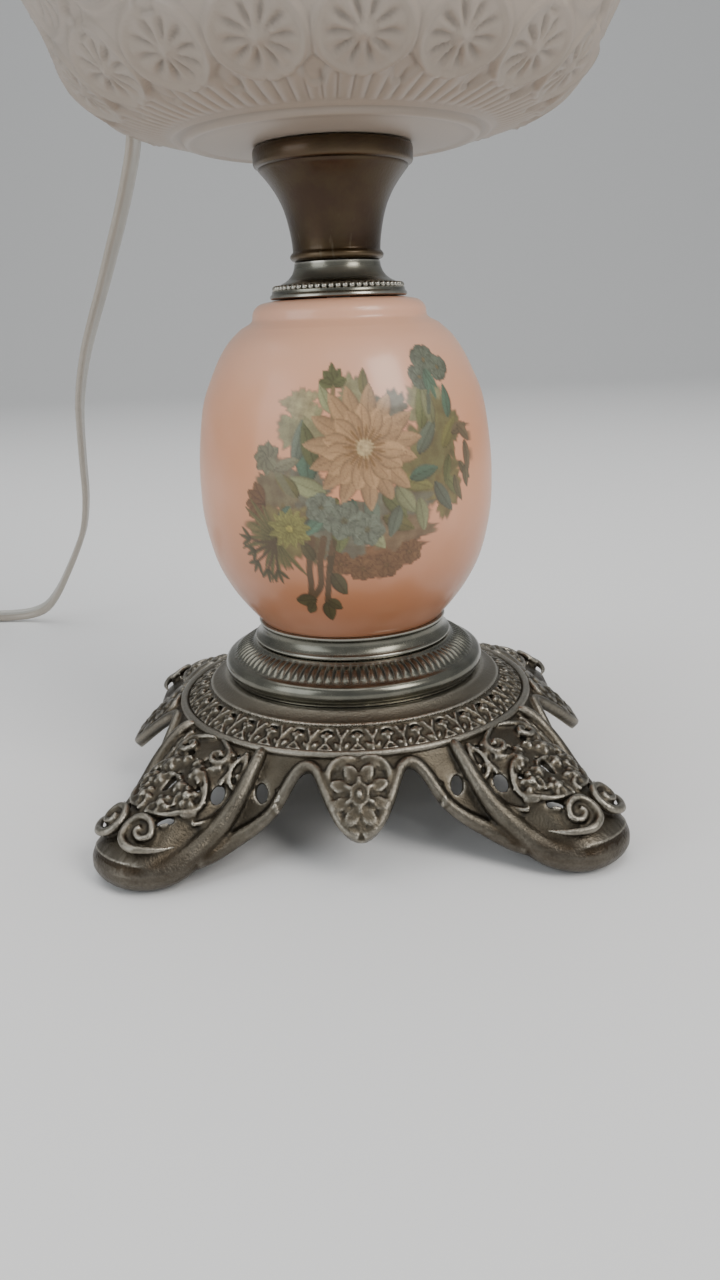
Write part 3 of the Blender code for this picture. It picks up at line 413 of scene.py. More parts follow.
def steel():
    look = Finish("plated steel", {"Metallic": 1.0})
    spots = look.between(look.noise(2.2, 5), 0.55, 0.72)
    brushed = look.noise(0.25, 2, (1, 1, 0.1))
    look.vary(
        color=look.mix(spots, (0.50, 0.50, 0.50), (0.30, 0.27, 0.24)),
        roughness=0.26 + 0.18 * brushed + 0.2 * spots,
        normal=look.bump(brushed, 0.02),
    )
    return look.material


LOOKS["antique_casting"] = antique_casting()
LOOKS["antique_collar"] = antique_collar()
LOOKS["aged_brass"] = aged_brass()
LOOKS["burner_brass"] = burner_brass()
LOOKS["steel"] = steel()
print("metals:", ", ".join(LOOKS))

# %% [markdown]
# ## Glass
# The stem is opal glass under a satin peach glaze, paler and pinker at the shoulder and darkened
# towards its foot by painted shade, with the bouquet held as colours on its points. The fount is
# pressed and frosted, so it glows softly where light comes through; painted shade darkens its colour
# towards the bottom and in its pressed hollows. The chimney is thin clear glass.


# %% Mix the glasses
def painted_glass():
    surface = {"IOR": 1.5, "Coat Roughness": 0.16, "Coat IOR": 1.5, "Subsurface Weight": 0.12}
    look = Finish("peach satin glass", surface)
    look.body.socket.node.inputs["Subsurface Radius"].default_value = (1.0, 0.5, 0.35)
    look.body.socket.node.inputs["Subsurface Scale"].default_value = 0.004
    height = look.axis("Z")
    cloud = look.noise(26.0, 2)
    # Darker towards the foot: painted shade.
    low = look.mix(look.between(height, 52, 100), (0.38, 0.150, 0.068), (0.66, 0.300, 0.155))
    peach = look.mix(look.between(height + 10 * cloud, 108, 140), low, (0.74, 0.41, 0.27))
    patchy = look.mix(look.between(cloud, 0.4, 0.75) * 0.30, peach, (0.74, 0.42, 0.31))
    paint = look.add("Attribute", {"attribute_name": "bouquet"}, {}, "Color")
    laid = look.add("Attribute", {"attribute_name": "bouquet"}, {}, "Alpha")
    strokes = look.noise(0.55, 3)
    shown = look.mix(0.30, paint, look.mix(strokes, (0.0, 0.0, 0.0), (1, 1, 1)), "OVERLAY")
    look.vary(
        color=look.mix(laid, patchy, shown),
        roughness=0.36 + 0.05 * laid + 0.05 * look.noise(3.0, 3),
        coat=0.42 - 0.15 * laid,
        normal=look.bump(look.noise(5.0, 2) + 0.12 * laid * strokes, 0.04),
    )
    return look.material


def frosted_glass():
    surface = {"IOR": 1.5, "Transmission Weight": 0.35, "Coat Weight": 0.35, "Coat Roughness": 0.35}
    look = Finish("frosted glass", surface)
    height = look.axis("Z")
    frost = look.noise(0.5, 4)
    cloud = look.noise(16.0, 3)
    # Darker towards the bottom: painted shade.
    tint = look.mix(look.between(height, 180, 230), (0.46, 0.38, 0.305), (0.64, 0.565, 0.50))
    deep = 1.0 - look.by_relief(0.44, 0.505)
    look.vary(
        # Darker in the pressed hollows: painted shade, mixed with random clouding.
        color=look.mix(0.55 * deep + 0.15 * cloud, tint, (0.30, 0.255, 0.215)),
        roughness=0.46 + 0.12 * frost - 0.12 * look.by_relief(0.505, 0.56),
        normal=look.bump(frost, 0.03),
    )
    return look.material


def clear_glass():
    surface = {"IOR": 1.46, "Transmission Weight": 1.0, "Base Color": (0.97, 0.99, 0.985)}
    look = Finish("clear glass", surface)
    haze = look.between(look.noise(11.0, 4), 0.45, 0.8)
    look.vary(roughness=0.015 + 0.07 * haze, normal=look.bump(look.noise(18.0, 1), 0.05))
    return look.material


def bulb_glass():
    surface = {"IOR": 1.5, "Subsurface Weight": 0.3, "Coat Weight": 0.6, "Coat Roughness": 0.05}
    look = Finish("soft white bulb", surface)
    look.body.socket.node.inputs["Subsurface Scale"].default_value = 0.002
    shade = look.between(look.axis("Z"), 318, 345)
    dust = look.noise(2.0, 5)
    look.vary(
        color=look.mix(shade * (0.8 + 0.2 * dust), (0.62, 0.60, 0.55), (0.86, 0.85, 0.82)),
        roughness=0.22 + 0.1 * dust,
    )
    return look.material


LOOKS["painted_glass"] = painted_glass()
LOOKS["frosted_glass"] = frosted_glass()
LOOKS["clear_glass"] = clear_glass()
LOOKS["bulb_glass"] = bulb_glass()

# %% [markdown]
# ## Plaster, porcelain and plastic
# The cord's jacket is clear and greyish. Its two wires show through: one bright and one coppery,
# each with the slant of its twisted strands. The cord's mesh carries how far along and how far
# round each point is.


# %% Mix the rest
def plaster():
    look = Finish("plaster", {"Specular IOR Level": 0.3})
    lumps = look.noise(1.2, 5)
    look.vary(
        color=look.mix(lumps, (0.50, 0.46, 0.40), (0.74, 0.71, 0.65)),
        roughness=0.85 + 0.1 * lumps,
        normal=look.bump(lumps, 0.25),
    )
    return look.material


def phenolic():
    look = Finish("brown moulding", {"IOR": 1.52})
    swirl = look.between(look.noise(2.5, 5), 0.4, 0.7)
    look.vary(
        color=look.mix(swirl, (0.030, 0.014, 0.009), (0.060, 0.030, 0.018)),
        roughness=0.28 + 0.18 * swirl,
        normal=look.bump(look.noise(0.4, 3), 0.02),
    )
    return look.material


def porcelain():
    look = Finish("porcelain", {"Coat Weight": 0.7, "Coat Roughness": 0.06})
    glaze = look.noise(3.0, 3)
    look.vary(
        color=look.mix(glaze, (0.70, 0.68, 0.62), (0.86, 0.85, 0.81)),
        roughness=0.25 + 0.15 * glaze,
        normal=look.bump(glaze, 0.05),
    )
    return look.material


def cord_plastic(name, wired):
    surface = {"IOR": 1.5, "Coat Roughness": 0.14, "Specular IOR Level": 0.6}
    look = Finish(name, surface)
    dull = look.noise(5.0, 3)
    jacket = look.mix(dull, (0.36, 0.345, 0.30), (0.50, 0.485, 0.43))
    relief = look.noise(0.8, 3)
    if wired:
        along = look.add("UVMap", {"uv_map": "along"})
        far = look.add("SeparateXYZ", {}, {"Vector": along}, "X")
        around = look.add("SeparateXYZ", {}, {"Vector": along}, "Y")
        side = look.between(around, 0.46, 0.54)
        turn = TAU * (9.0 * far + 5.0 * around)
        strand = turn.reckon("SINE", turn)
        copper = look.mix(0.5 + 0.4 * strand, (0.30, 0.245, 0.19), (0.46, 0.40, 0.33))
        silver = look.mix(0.5 + 0.4 * strand, (0.38, 0.37, 0.34), (0.56, 0.55, 0.51))
        cores = look.mix(side, silver, copper)
        jacket = look.mix(0.65, jacket, cores)
        relief = relief + 0.15 * strand
    look.vary(
        color=jacket,
        roughness=0.28 + 0.18 * dull,
        coat=0.45 + 0.2 * dull,
        normal=look.bump(relief, 0.03),
    )
    return look.material


LOOKS["plaster"] = plaster()
LOOKS["phenolic"] = phenolic()
LOOKS["porcelain"] = porcelain()
LOOKS["cord_plastic"] = cord_plastic("clear cord jacket", True)
LOOKS["plain_jacket"] = cord_plastic("moulded cord plastic", False)
print("finishes:", len(LOOKS))

# %% [markdown]
# ## The cord
# A lamp cord is two wires side by side in one clear jacket, 5.4 mm wide and half as thick, so its
# section is a figure of eight. It leaves the burner's bushing level, falls behind the fount, and
# lands beside the lamp. The rest of its 1.8 m is wound in a coil with the plug on top. A swept
# section is made here point by point, because the cord twists as it hangs, and that twist has to
# be steered: hanging, it shows its broad side, and in the coil it stands on its edge.

# %% Lay out the cord's line
CORD_WIDTH = 5.4
BUSHING_ANGLE = math.radians(127.5)
BUSHING_REACH = 49.3
BUSHING_HEIGHT = 286.05
COIL_CENTRE = np.array([-212.0, 150.0])
CORD_ROUTE = [
    (-37.1, 48.4, 285.6),
    (-45.0, 59.0, 280.2),
    (-52.0, 70.0, 269.0),
    (-57.7, 78.8, 253.0),
    (-62.5, 85.7, 235.0),
    (-66.2, 90.9, 217.0),
    (-69.3, 95.2, 199.0),
    (-73.3, 101.2, 189.0),
    (-78.5, 107.5, 177.8),
    (-84.5, 113.7, 165.8),
    (-90.9, 119.9, 153.0),
    (-98.4, 126.1, 138.2),
    (-104.4, 132.4, 125.6),
    (-109.5, 138.5, 110.7),
    (-112.4, 144.7, 97.9),
    (-114.7, 150.8, 81.5),
    (-116.9, 156.9, 66.0),
    (-121.0, 163.0, 51.4),
    (-127.3, 169.2, 39.5),
    (-134.5, 175.4, 28.0),
    (-142.0, 181.2, 17.0),
    (-150.0, 186.5, 8.3),
    (-159.0, 189.8, 4.2),
    (-169.0, 191.2, 3.0),
    (-180.0, 191.4, 2.9),
    (-195.0, 190.2, 2.8),
]
COIL_OUTER = 35.9
LOWER_HEIGHT = 2.75
UPPER_HEIGHT = 7.75


def coil_line():
    """The wound length: five turns on edge, going inwards, and over them two flat turns going out."""
    points, sides = [], []
    angle, end = 70.0, 233.0 + 7 * 360.0
    while angle <= end - 12:
        entry = min(1.0, max(0.0, (angle - 70) / 75))
        entry = entry * entry * (3 - 2 * entry)
        lower = COIL_OUTER - 2.86 * (angle - 145) / 360 + 6.6 * (1 - entry)
        upper = 23.6 + 5.5 * (angle - 1950) / 360
        climb = min(1.0, max(0.0, (angle - 1840) / 95))
        climb = climb * climb * (3 - 2 * climb)
        radius = lower * (1 - climb) + upper * climb
        height = LOWER_HEIGHT * (1 - climb) + UPPER_HEIGHT * climb
        out = np.array([math.cos(math.radians(angle)), math.sin(math.radians(angle)), 0.0])
        points.append(np.array([*COIL_CENTRE, height]) + radius * out)
        sides.append((1 - climb) * np.array([0.0, 0.0, 1.0]) + climb * out)
        angle += 13.5
    return points, sides


def cord_line():
    """The cord's whole centreline in millimetres, and the way its broad side faces along it."""
    start = np.array([math.cos(BUSHING_ANGLE), math.sin(BUSHING_ANGLE), 0.0]) * BUSHING_REACH
    start[2] = BUSHING_HEIGHT
    run = [start, *np.array(CORD_ROUTE)]
    level = np.array([math.sin(BUSHING_ANGLE), -math.cos(BUSHING_ANGLE), 0.0])
    stations = [0, 6, 10, 15, 20, 23, len(run) - 1]
    ways = [level, (1, 0.2, 0), (0.9, 0.5, 0), (0.1, 1, 0), (0, 0.8, 0.6), (0, 0.2, 1), (0, 0, 1)]
    ways = np.array(ways, float)
    sides = [
        np.array([np.interp(i, stations, ways[:, axis]) for axis in range(3)])
        for i in range(len(run))
    ]
    wound, wound_sides = coil_line()
    tail = np.array([[-20.5, -28.2, 12.6], [-16.6, -29.4, 14.4], [-12.9, -29.5, 14.75]])
    tail[:, :2] += COIL_CENTRE
    points = np.array(run + wound + list(tail))
    sides = np.array(sides + wound_sides + [wound_sides[-1], (0, -1, 0), (0, -1, 0)])
    return smooth_line(points, 3), smooth_line(sides, 3)


cord_points, cord_sides = cord_line()
steps = np.linalg.norm(np.diff(cord_points, axis=0), axis=1)
print("cord length", round(steps.sum() / 1000, 4), "m, widest step", round(steps.max(), 1), "mm")

# %% [markdown]
# ## The cord's body
# The section is carried along the line with its broad side turned as the line says. A curve object
# with a profile would be shorter to write, but its twist can't be held from point to point. The
# UV map that is made here carries the strands' pattern.

# %% Sweep the cord's section along it
def cord_section():
    """Two round wires side by side, 16 points, with the groove between them."""
    wire = CORD_WIDTH / 4
    half = []
    for turn in np.linspace(-132, 132, 8):
        a = math.radians(turn)
        half.append((wire + wire * math.cos(a), wire * math.sin(a)))
    return np.array(half + [(-x, -y) for x, y in half])


def sweep(name, line, ways, section):
    line, ways = np.array(line), np.array(ways)
    ahead = np.gradient(line, axis=0)
    ahead /= np.linalg.norm(ahead, axis=1)[:, None]
    wide = ways - (ways * ahead).sum(1)[:, None] * ahead
    wide /= np.linalg.norm(wide, axis=1)[:, None]
    thick = np.cross(ahead, wide)
    count = len(section)
    rings = line[:, None] + section[None, :, :1] * wide[:, None] + section[None, :, 1:] * thick[:, None]
    faces = []
    for i in range(len(line) - 1):
        for j in range(count):
            k = (j + 1) % count
            faces.append((i * count + j, i * count + k, (i + 1) * count + k, (i + 1) * count + j))
    faces.append(tuple(range(count))[::-1])
    faces.append(tuple((len(line) - 1) * count + j for j in range(count)))
    mesh = bpy.data.meshes.new(name)
    mesh.from_pydata((rings.reshape(-1, 3) * MM).tolist(), [], faces)
    piece = bpy.data.objects.new(name, mesh)
    bpy.context.scene.collection.objects.link(piece)
    travelled = np.concatenate([[0], np.cumsum(np.linalg.norm(np.diff(line, axis=0), axis=1))])
    layer = mesh.uv_layers.new(name="along")
    for face in mesh.polygons[: (len(line) - 1) * count]:
        i, j = divmod(face.index, count)
        for corner, (di, dj) in zip(face.loop_indices, ((0, 0), (0, 1), (1, 1), (1, 0))):
            layer.data[corner].uv = (travelled[i + di] / CORD_WIDTH, (j + dj) / count)
    edit(piece)
    bpy.ops.mesh.normals_make_consistent(inside=False)
    leave_edit()
    mesh.shade_smooth()
    return piece


cord = sweep("cord", cord_points, cord_sides, cord_section())
finished(cord, "lamp", "cord_plastic", "cord_run", "cord_coil", "cord_tail")

# %% [markdown]
# ## The plug and the tie
# The plug is a moulded block with rounded corners, raised ridges for the fingers, and a ribbed
# sleeve that guards the cord from a sharp bend. The tie is a flat strap bent round the coil.

# %% Mould the plug and tie the coil
def plug_body():
    """A flat two-pin plug: a rounded block with grip ridges and a ribbed sleeve for the cord."""
    low, high = [np.array(c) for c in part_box("plug_body")]
    middle, size = (low + high) / 2, high - low
    bpy.ops.object.select_all(action="DESELECT")
    bpy.ops.mesh.primitive_cube_add(size=1.0, location=middle)
    block = bpy.context.object
    block.scale = size
    settle(block)
    edit(block)
    bpy.ops.mesh.bevel(offset=2.6 * MM, segments=5, affect="EDGES")
    leave_edit()
    parts = [block]
    for i in range(4):
        for side in (-1, 1):
            place = middle + np.array([(-5.0 + 3.0 * i) * MM, side * (size[1] / 2 - 0.2 * MM), 0])
            bpy.ops.object.select_all(action="DESELECT")
            bpy.ops.mesh.primitive_cube_add(size=1.0, location=place)
            ridge = bpy.context.object
            ridge.scale = np.array([1.3, 1.2, 6.4]) * MM
            settle(ridge)
            edit(ridge)
            bpy.ops.mesh.bevel(offset=0.45 * MM, segments=3, affect="EDGES")
            leave_edit()
            parts.append(ridge)
    outline = [(3.1, 7.5), (3.3, 7.5), (3.6, 7.2), (3.7, 6.2), (3.2, 5.9), (3.2, 5.1), (4.0, 4.8)]
    outline += [(4.1, 3.6), (3.6, 3.3), (3.6, 2.5), (4.4, 2.2), (4.6, -1.0), (0.0, -1.0), (0.0, 7.5)]
    sleeve = turned("sleeve", outline, 32, closed=True)
    sleeve.matrix_world = (
        Matrix.Translation(Vector((low[0], middle[1], middle[2])))
        @ Matrix.Rotation(-TAU / 4, 4, "Y")
    )
    parts.append(settle(sleeve))
    whole = settle(join("plug", parts))
    return smooth_faces(whole, 40)


def tie():
    """A flat tie round the coil, squared off to its section."""
    bpy.ops.object.select_all(action="DESELECT")
    bpy.ops.mesh.primitive_torus_add(
        major_radius=9.0 * MM, minor_radius=0.8 * MM, major_segments=48, minor_segments=10
    )
    loop = bpy.context.object
    x, y, z = points_of(loop).T / MM
    way, reach = np.arctan2(y, x), np.hypot(x, y) - 9.0
    square = (np.abs(np.cos(way) / 9.5) ** 7 + np.abs(np.sin(way) / 4.9) ** 7) ** (-1 / 7)
    out = square + 0.6 * reach
    turn = math.radians(300)
    radial = 29.6 + out * np.cos(way)
    height = np.maximum(0.02, 5.4 + out * np.sin(way))
    across = 2.2 * z
    places = np.column_stack([
        COIL_CENTRE[0] + radial * math.cos(turn) - across * math.sin(turn),
        COIL_CENTRE[1] + radial * math.sin(turn) + across * math.cos(turn),
        height,
    ])
    move_points(loop, places * MM)
    loop.name = loop.data.name = "cord_tie"
    loop.data.shade_smooth()
    return loop


plug = finished(plug_body(), "lamp", "plain_jacket", "plug_body")
cord_tie = finished(tie(), "lamp", "plain_jacket")

# %% [markdown]
# ## The cast base
# The skirt is one thin casting: four legs, four pendants and the arches between them. It could be
# cut from a solid, but its surface is a smooth function of the turn and the radius, so one quarter
# of it is a fine grid, whose points are moved onto that surface with its leg along +X.

# %% The skirt's surface
RIM, RIM_HEIGHT, FOOT, PENDANT, DROP = 52.5, 28.4, 92.4, 70.0, 16.2
LEG_EDGE = [
    (0, 1.00, 0.68), (4, 0.985, 0.68), (8, 0.90, 0.72), (12, 0.60, 0.82), (16, 0.43, 0.72),
    (20, 0.33, 0.62), (24, 0.25, 0.48), (27, 0.13, 0.20), (30, 0.07, 0.10),
]
PENDANT_EDGE = [(0, 1.00, 1.00), (4, 0.91, 0.86), (8, 0.55, 0.47), (11, 0.23, 0.21), (15, 0.16, 0.17)]
EDGE_TURNS = np.arange(-45, 45.01, 0.25)


def edge_line():
    """The skirt's outer edge: radius and height at each of the turns, rounded a little."""
    off = np.abs(EDGE_TURNS)
    leg, side = np.array(LEG_EDGE).T, np.array(PENDANT_EDGE).T
    on_leg = off <= 30
    out = np.where(
        on_leg,
        np.interp(off, leg[0], leg[1]) * (FOOT - RIM),
        np.interp(45 - off, side[0], side[1]) * (PENDANT - RIM),
    )
    down = np.where(
        on_leg,
        np.interp(off, leg[0], leg[2]) * RIM_HEIGHT,
        np.interp(45 - off, side[0], side[2]) * DROP,
    )
    weights = np.exp(-0.5 * (np.arange(-14, 15) / 5.0) ** 2)
    weights /= weights.sum()
    soft = [np.convolve(np.pad(line, 14, "reflect"), weights, "valid") for line in (out, down)]
    return RIM + soft[0], RIM_HEIGHT - soft[1]


EDGE_RADIUS, EDGE_HEIGHT = edge_line()


def skin(turn, radius):
    """The skirt's height at a turn in degrees from the leg, and a radius."""
    reach = np.interp(turn, EDGE_TURNS, EDGE_RADIUS)
    foot = np.interp(turn, EDGE_TURNS, EDGE_HEIGHT)
    share = np.clip((radius - RIM) / (reach - RIM), 0, 1)
    on_leg = np.clip((24 - np.abs(turn)) / 12, 0, 1)
    bulge = 0.05 + 0.08 * on_leg
    return RIM_HEIGHT - (RIM_HEIGHT - foot) * (share - bulge * np.sin(math.pi * share))


def laid(u, v, lift=0.0):
    """A point on the leg, and the way out of the skirt there."""
    def spot(u, v):
        return np.array([u, v, float(skin(math.degrees(math.atan2(v, u)), math.hypot(u, v)))])

    here = spot(u, v)
    out = np.cross(spot(u + 0.8, v) - spot(u - 0.8, v), spot(u, v + 0.8) - spot(u, v - 0.8))
    out /= np.linalg.norm(out)
    return here + lift * out, out

# %% [markdown]
# ## Ornament
# Cast ornament is made of a few kinds of shape: round bars, domes, leaves and roses. Each is
# modelled once as a helper that takes a place and the way out of the surface there.

# %% Tools for laying ornament
def rail(points, radii, fine=3):
    """A round bar through the points, with its radius at each."""
    line = smooth_line(points, 5)
    sizes = np.interp(
        np.linspace(0, 1, len(line)), np.linspace(0, 1, len(points)),
        np.broadcast_to(radii, len(points)),
    )
    data = bpy.data.curves.new("rail", "CURVE")
    data.dimensions, data.bevel_depth = "3D", MM
    data.bevel_resolution, data.use_fill_caps = fine, True
    spline = data.splines.new("POLY")
    spline.points.add(len(line) - 1)
    for point, place, size in zip(spline.points, line, sizes):
        point.co = (*(place * MM), 1.0)
        point.radius = size
    bar = bpy.data.objects.new("rail", data)
    bpy.context.scene.collection.objects.link(bar)
    pick(bar)
    bpy.ops.object.convert(target="MESH")
    bar = bpy.context.object
    edit(bar)
    bpy.ops.mesh.remove_doubles(threshold=0.000002)
    leave_edit()
    return bar


def stand(out, turn=0.0):
    """A rotation whose Z is the way out, turned round it, with X away from the lamp's axis."""
    out = Vector(out)
    side = out.cross(Vector((1, 0, 0))).normalized()
    ahead = side.cross(out)
    grid = Matrix((ahead, side, out)).transposed()
    return (grid @ Matrix.Rotation(math.radians(turn), 3, "Z")).to_euler()


def dome(place, out, size, turn=0.0, fine=12):
    """An ellipsoid half sunk in the surface. Its size is along, across and out."""
    bpy.ops.mesh.primitive_uv_sphere_add(
        segments=fine, ring_count=max(6, fine // 2), radius=MM,
        location=np.array(place) * MM, rotation=stand(out, turn),
    )
    bpy.context.object.scale = size
    return bpy.context.object


def ring(place, out, radius, thick, stretch=1.0, turn=0.0):
    bpy.ops.mesh.primitive_torus_add(
        major_radius=radius * MM, minor_radius=thick * MM, major_segments=24, minor_segments=8,
        location=np.array(place) * MM, rotation=stand(out, turn),
    )
    hoop = bpy.context.object
    hoop.scale = (stretch, 1.0, 1.0)
    return hoop


def on_leg(path, lift):
    return [laid(u, v, lift)[0] for u, v in path]


def leaf_at(u, v, length, width, turn, proud=1.1):
    """A leaf: a flat dome with a thin vein along it."""
    place, out = laid(u, v)
    a = math.radians(turn)
    half = 0.42 * length
    vein = [laid(u + k * half * math.cos(a), v + k * half * math.sin(a), proud * 0.95)[0]
            for k in (-1, 0, 1)]
    return [dome(place, out, (0.5 * length, 0.5 * width, proud), turn), rail(vein, 0.28, 1)]


def rose(u, v, radius):
    """Five round petals round a button."""
    place, out = laid(u, v, 0.3)
    petals = [dome(place, out, (0.42 * radius, 0.42 * radius, 0.62 * radius))]
    for i in range(5):
        a = TAU * i / 5 + 0.3 * u
        p, q = laid(u + 0.62 * radius * math.cos(a), v + 0.62 * radius * math.sin(a), 0.1)
        petals.append(dome(p, q, (0.46 * radius, 0.40 * radius, 0.50 * radius), math.degrees(a)))
    petals.append(ring(place + 0.45 * radius * out, out, 0.27 * radius, 0.13 * radius))
    return petals

# %% [markdown]
# ## The leg
# Rails, scrolls, roses and leaves are laid on the sheet in the leg's own millimetres: u outwards,
# v across. Round drills pierce the sheet with a Boolean modifier. The drills must not touch each
# other, or the sheet is lost. Four turned copies are joined, and one voxel remesh melts everything
# together like metal in a mould. A Decimate modifier then thins the flat places.

# %% Lay out the leg
PIERCINGS = [
    # u, v, length, width, turn
    (64.8, 12.6, 5.6, 3.4, 40), (79.0, 7.6, 5.4, 2.8, -28), (56.6, 20.2, 5.4, 3.2, 62),
    (60.6, 3.8, 3.6, 1.8, -30), (70.2, 0.0, 7.0, 2.6, 0), (68.6, 9.0, 2.6, 1.6, 40),
    (55.4, 9.6, 3.2, 1.8, 50),
]


def skirt_sheet():
    bpy.ops.object.select_all(action="DESELECT")
    bpy.ops.mesh.primitive_grid_add(x_subdivisions=300, y_subdivisions=84, size=1.0)
    sheet = bpy.context.object
    flat = points_of(sheet)
    turn, share = flat[:, 0] * 90, flat[:, 1] + 0.5
    reach = np.interp(turn, EDGE_TURNS, EDGE_RADIUS)
    radius = 51.2 + (reach - 51.2) * share
    move_points(sheet, from_polar(radius, np.radians(turn), skin(turn, radius)))
    wall = sheet.modifiers.new("wall", "SOLIDIFY")
    wall.thickness, wall.offset = 2.2 * MM, 1.0
    pick(sheet)
    bpy.ops.object.modifier_apply(modifier="wall")
    edit(sheet)
    bpy.ops.mesh.normals_make_consistent(inside=False)
    leave_edit()
    drills = []
    for u, v, length, width, turn in PIERCINGS:
        for side in (1, -1) if v else (1,):
            place, out = laid(u, side * v)
            bpy.ops.object.select_all(action="DESELECT")
            bpy.ops.mesh.primitive_cylinder_add(
                vertices=18, radius=0.5 * MM, depth=12 * MM,
                location=place * MM, rotation=stand(out, side * turn),
            )
            bpy.context.object.scale = (length, width, 1)
            drills.append(bpy.context.object)
    tool = settle(join("tool", drills))
    cut = sheet.modifiers.new("cut", "BOOLEAN")
    cut.operation, cut.object, cut.solver = "DIFFERENCE", tool, "EXACT"
    pick(sheet)
    bpy.ops.object.modifier_apply(modifier="cut")
    bpy.data.objects.remove(tool)
    return sheet


FRONT_RAIL = [
    # u, v, height, thickness
    (50.6, 14.6, 28.6, 1.0), (52.4, 15.8, 28.2, 1.6), (56, 17.0, 25.8, 1.8), (61, 17.8, 21.0, 2.1),
    (66, 17.2, 15.8, 2.6), (71, 15.8, 11.4, 3.1), (76, 14.5, 8.0, 3.7), (81, 12.3, 5.6, 4.1),
    (85.5, 8.8, 4.9, 4.5), (88.2, 4.5, 4.9, 4.7), (88.8, 0, 4.9, 4.75), (88.4, -3.5, 4.9, 4.7),
]
ARCH_TURNS, ARCH_THICKNESS = [11, 16, 22, 45], [3.0, 2.4, 1.8, 1.25]
VOLUTE = [
    # u, v
    (80, 12.5), (84.5, 10.5), (88, 6.5), (87.5, 2.8), (84.5, 1.5), (81.5, 3.2), (81.2, 6.5),
    (83.2, 8.2), (85.2, 6.8), (84.8, 4.8), (83.3, 5.0),
]


def half_leg(side):
    """Everything that the leg carries on one side of its middle line."""
    def mirrored(path):
        return [(u, side * v) for u, v in path]

    bars = np.array(FRONT_RAIL)
    bars[:, 1] *= side
    pieces = [rail(bars[:, :3], bars[:, 3], 5)]
    turns = np.arange(44.5, 10.4, -1.5)
    arch = []
    for turn in turns:
        radius = float(np.interp(turn, EDGE_TURNS, EDGE_RADIUS)) - 0.9
        a = math.radians(turn) * side
        thick = float(np.interp(turn, ARCH_TURNS, ARCH_THICKNESS))
        height = max(thick + 0.2, float(skin(turn, radius)) + 0.2)
        arch.append((radius * math.cos(a), radius * math.sin(a), height))
    pieces.append(rail(arch, np.interp(turns, ARCH_TURNS, ARCH_THICKNESS), 4))
    inner = [(53.2, 11.5), (55.5, 13.4), (60, 14.9), (65, 15.2), (70, 13.8), (74, 12.4)]
    pieces.append(rail(on_leg(mirrored(inner), 0.6), [0.7, 0.8, 0.9, 0.9, 0.8, 0.6]))
    spiral = on_leg(mirrored(VOLUTE), 2.3)
    pieces.append(rail(spiral, [0.3, 0.9, 1.2, 1.2, 1.15, 1.05, 1.0, 0.95, 0.9, 0.85, 0.8]))
    place, out = laid(84.3, side * 5.2, -1.0)
    pieces.append(dome(place, out, (4.6, 4.4, 3.2), fine=20))
    for u in np.linspace(66.5, 81.5, 14):
        v, height, size = [np.interp(u, bars[:8, 0], bars[:8, k]) for k in (1, 2, 3)]
        rib = []
        for lean in (15, 42, 70):
            a = math.radians(lean)
            reach = 1.03 * size
            rib.append((u, v - side * reach * math.cos(a), height + reach * math.sin(a)))
        pieces.append(rail(rib, 0.42, 1))
    upper = [(53.4, 1.2), (54.4, 4.4), (56.6, 8.4), (59.8, 8.4), (60.6, 5.8), (58.8, 4.4),
             (57.4, 5.8), (58.4, 6.9)]
    pieces.append(rail(on_leg(mirrored(upper), 0.9), [0.4, 0.8, 0.95, 0.95, 0.95, 0.95, 0.9, 0.9]))
    outer = [(54.4, 12.0), (57.6, 11.2), (60.6, 12.2), (61.2, 14.2), (59.4, 14.6), (58.6, 13.2)]
    pieces.append(rail(on_leg(mirrored(outer), 0.8), 0.7))
    ridge = [(62, 1.0), (66, 9.4), (70.5, 11.6), (75, 9.6), (78.5, 6.2), (79.5, 2.0)]
    pieces.append(rail(on_leg(mirrored(ridge), 0.7), [0.6, 0.8, 0.85, 0.85, 0.8, 0.6]))
    for u, v, radius in ((71.5, 8.3, 3.0), (65.4, 5.4, 2.7), (76.4, 3.9, 2.9), (70.6, 4.2, 2.1)):
        pieces += rose(u, side * v, radius)
    for u, v, length, width, turn in (
        (73.6, 11.2, 4.8, 2.6, -25), (58.0, 9.9, 4.4, 2.2, 40), (62.0, 11.6, 4.6, 2.2, 15),
        (61.8, 8.2, 4.2, 2.2, -50), (68.2, 10.6, 3.8, 2.0, 70), (78.8, 1.4, 3.4, 2.0, 0),
        (63.0, 2.4, 3.6, 2.0, -30), (68.6, 1.4, 3.2, 1.8, 80), (74.2, 6.6, 3.4, 1.9, 30),
        (54.6, 16.4, 3.4, 1.7, 60), (53.8, 24.5, 3.2, 1.5, 95), (56.4, 25.6, 3.4, 1.5, 60),
        (55.6, 8.6, 3.0, 1.6, 80), (66.8, 7.6, 2.8, 1.7, 20), (79.6, 8.6, 3.0, 1.6, -35),
    ):
        pieces += leaf_at(u, side * v, length, width, side * turn)
    return pieces


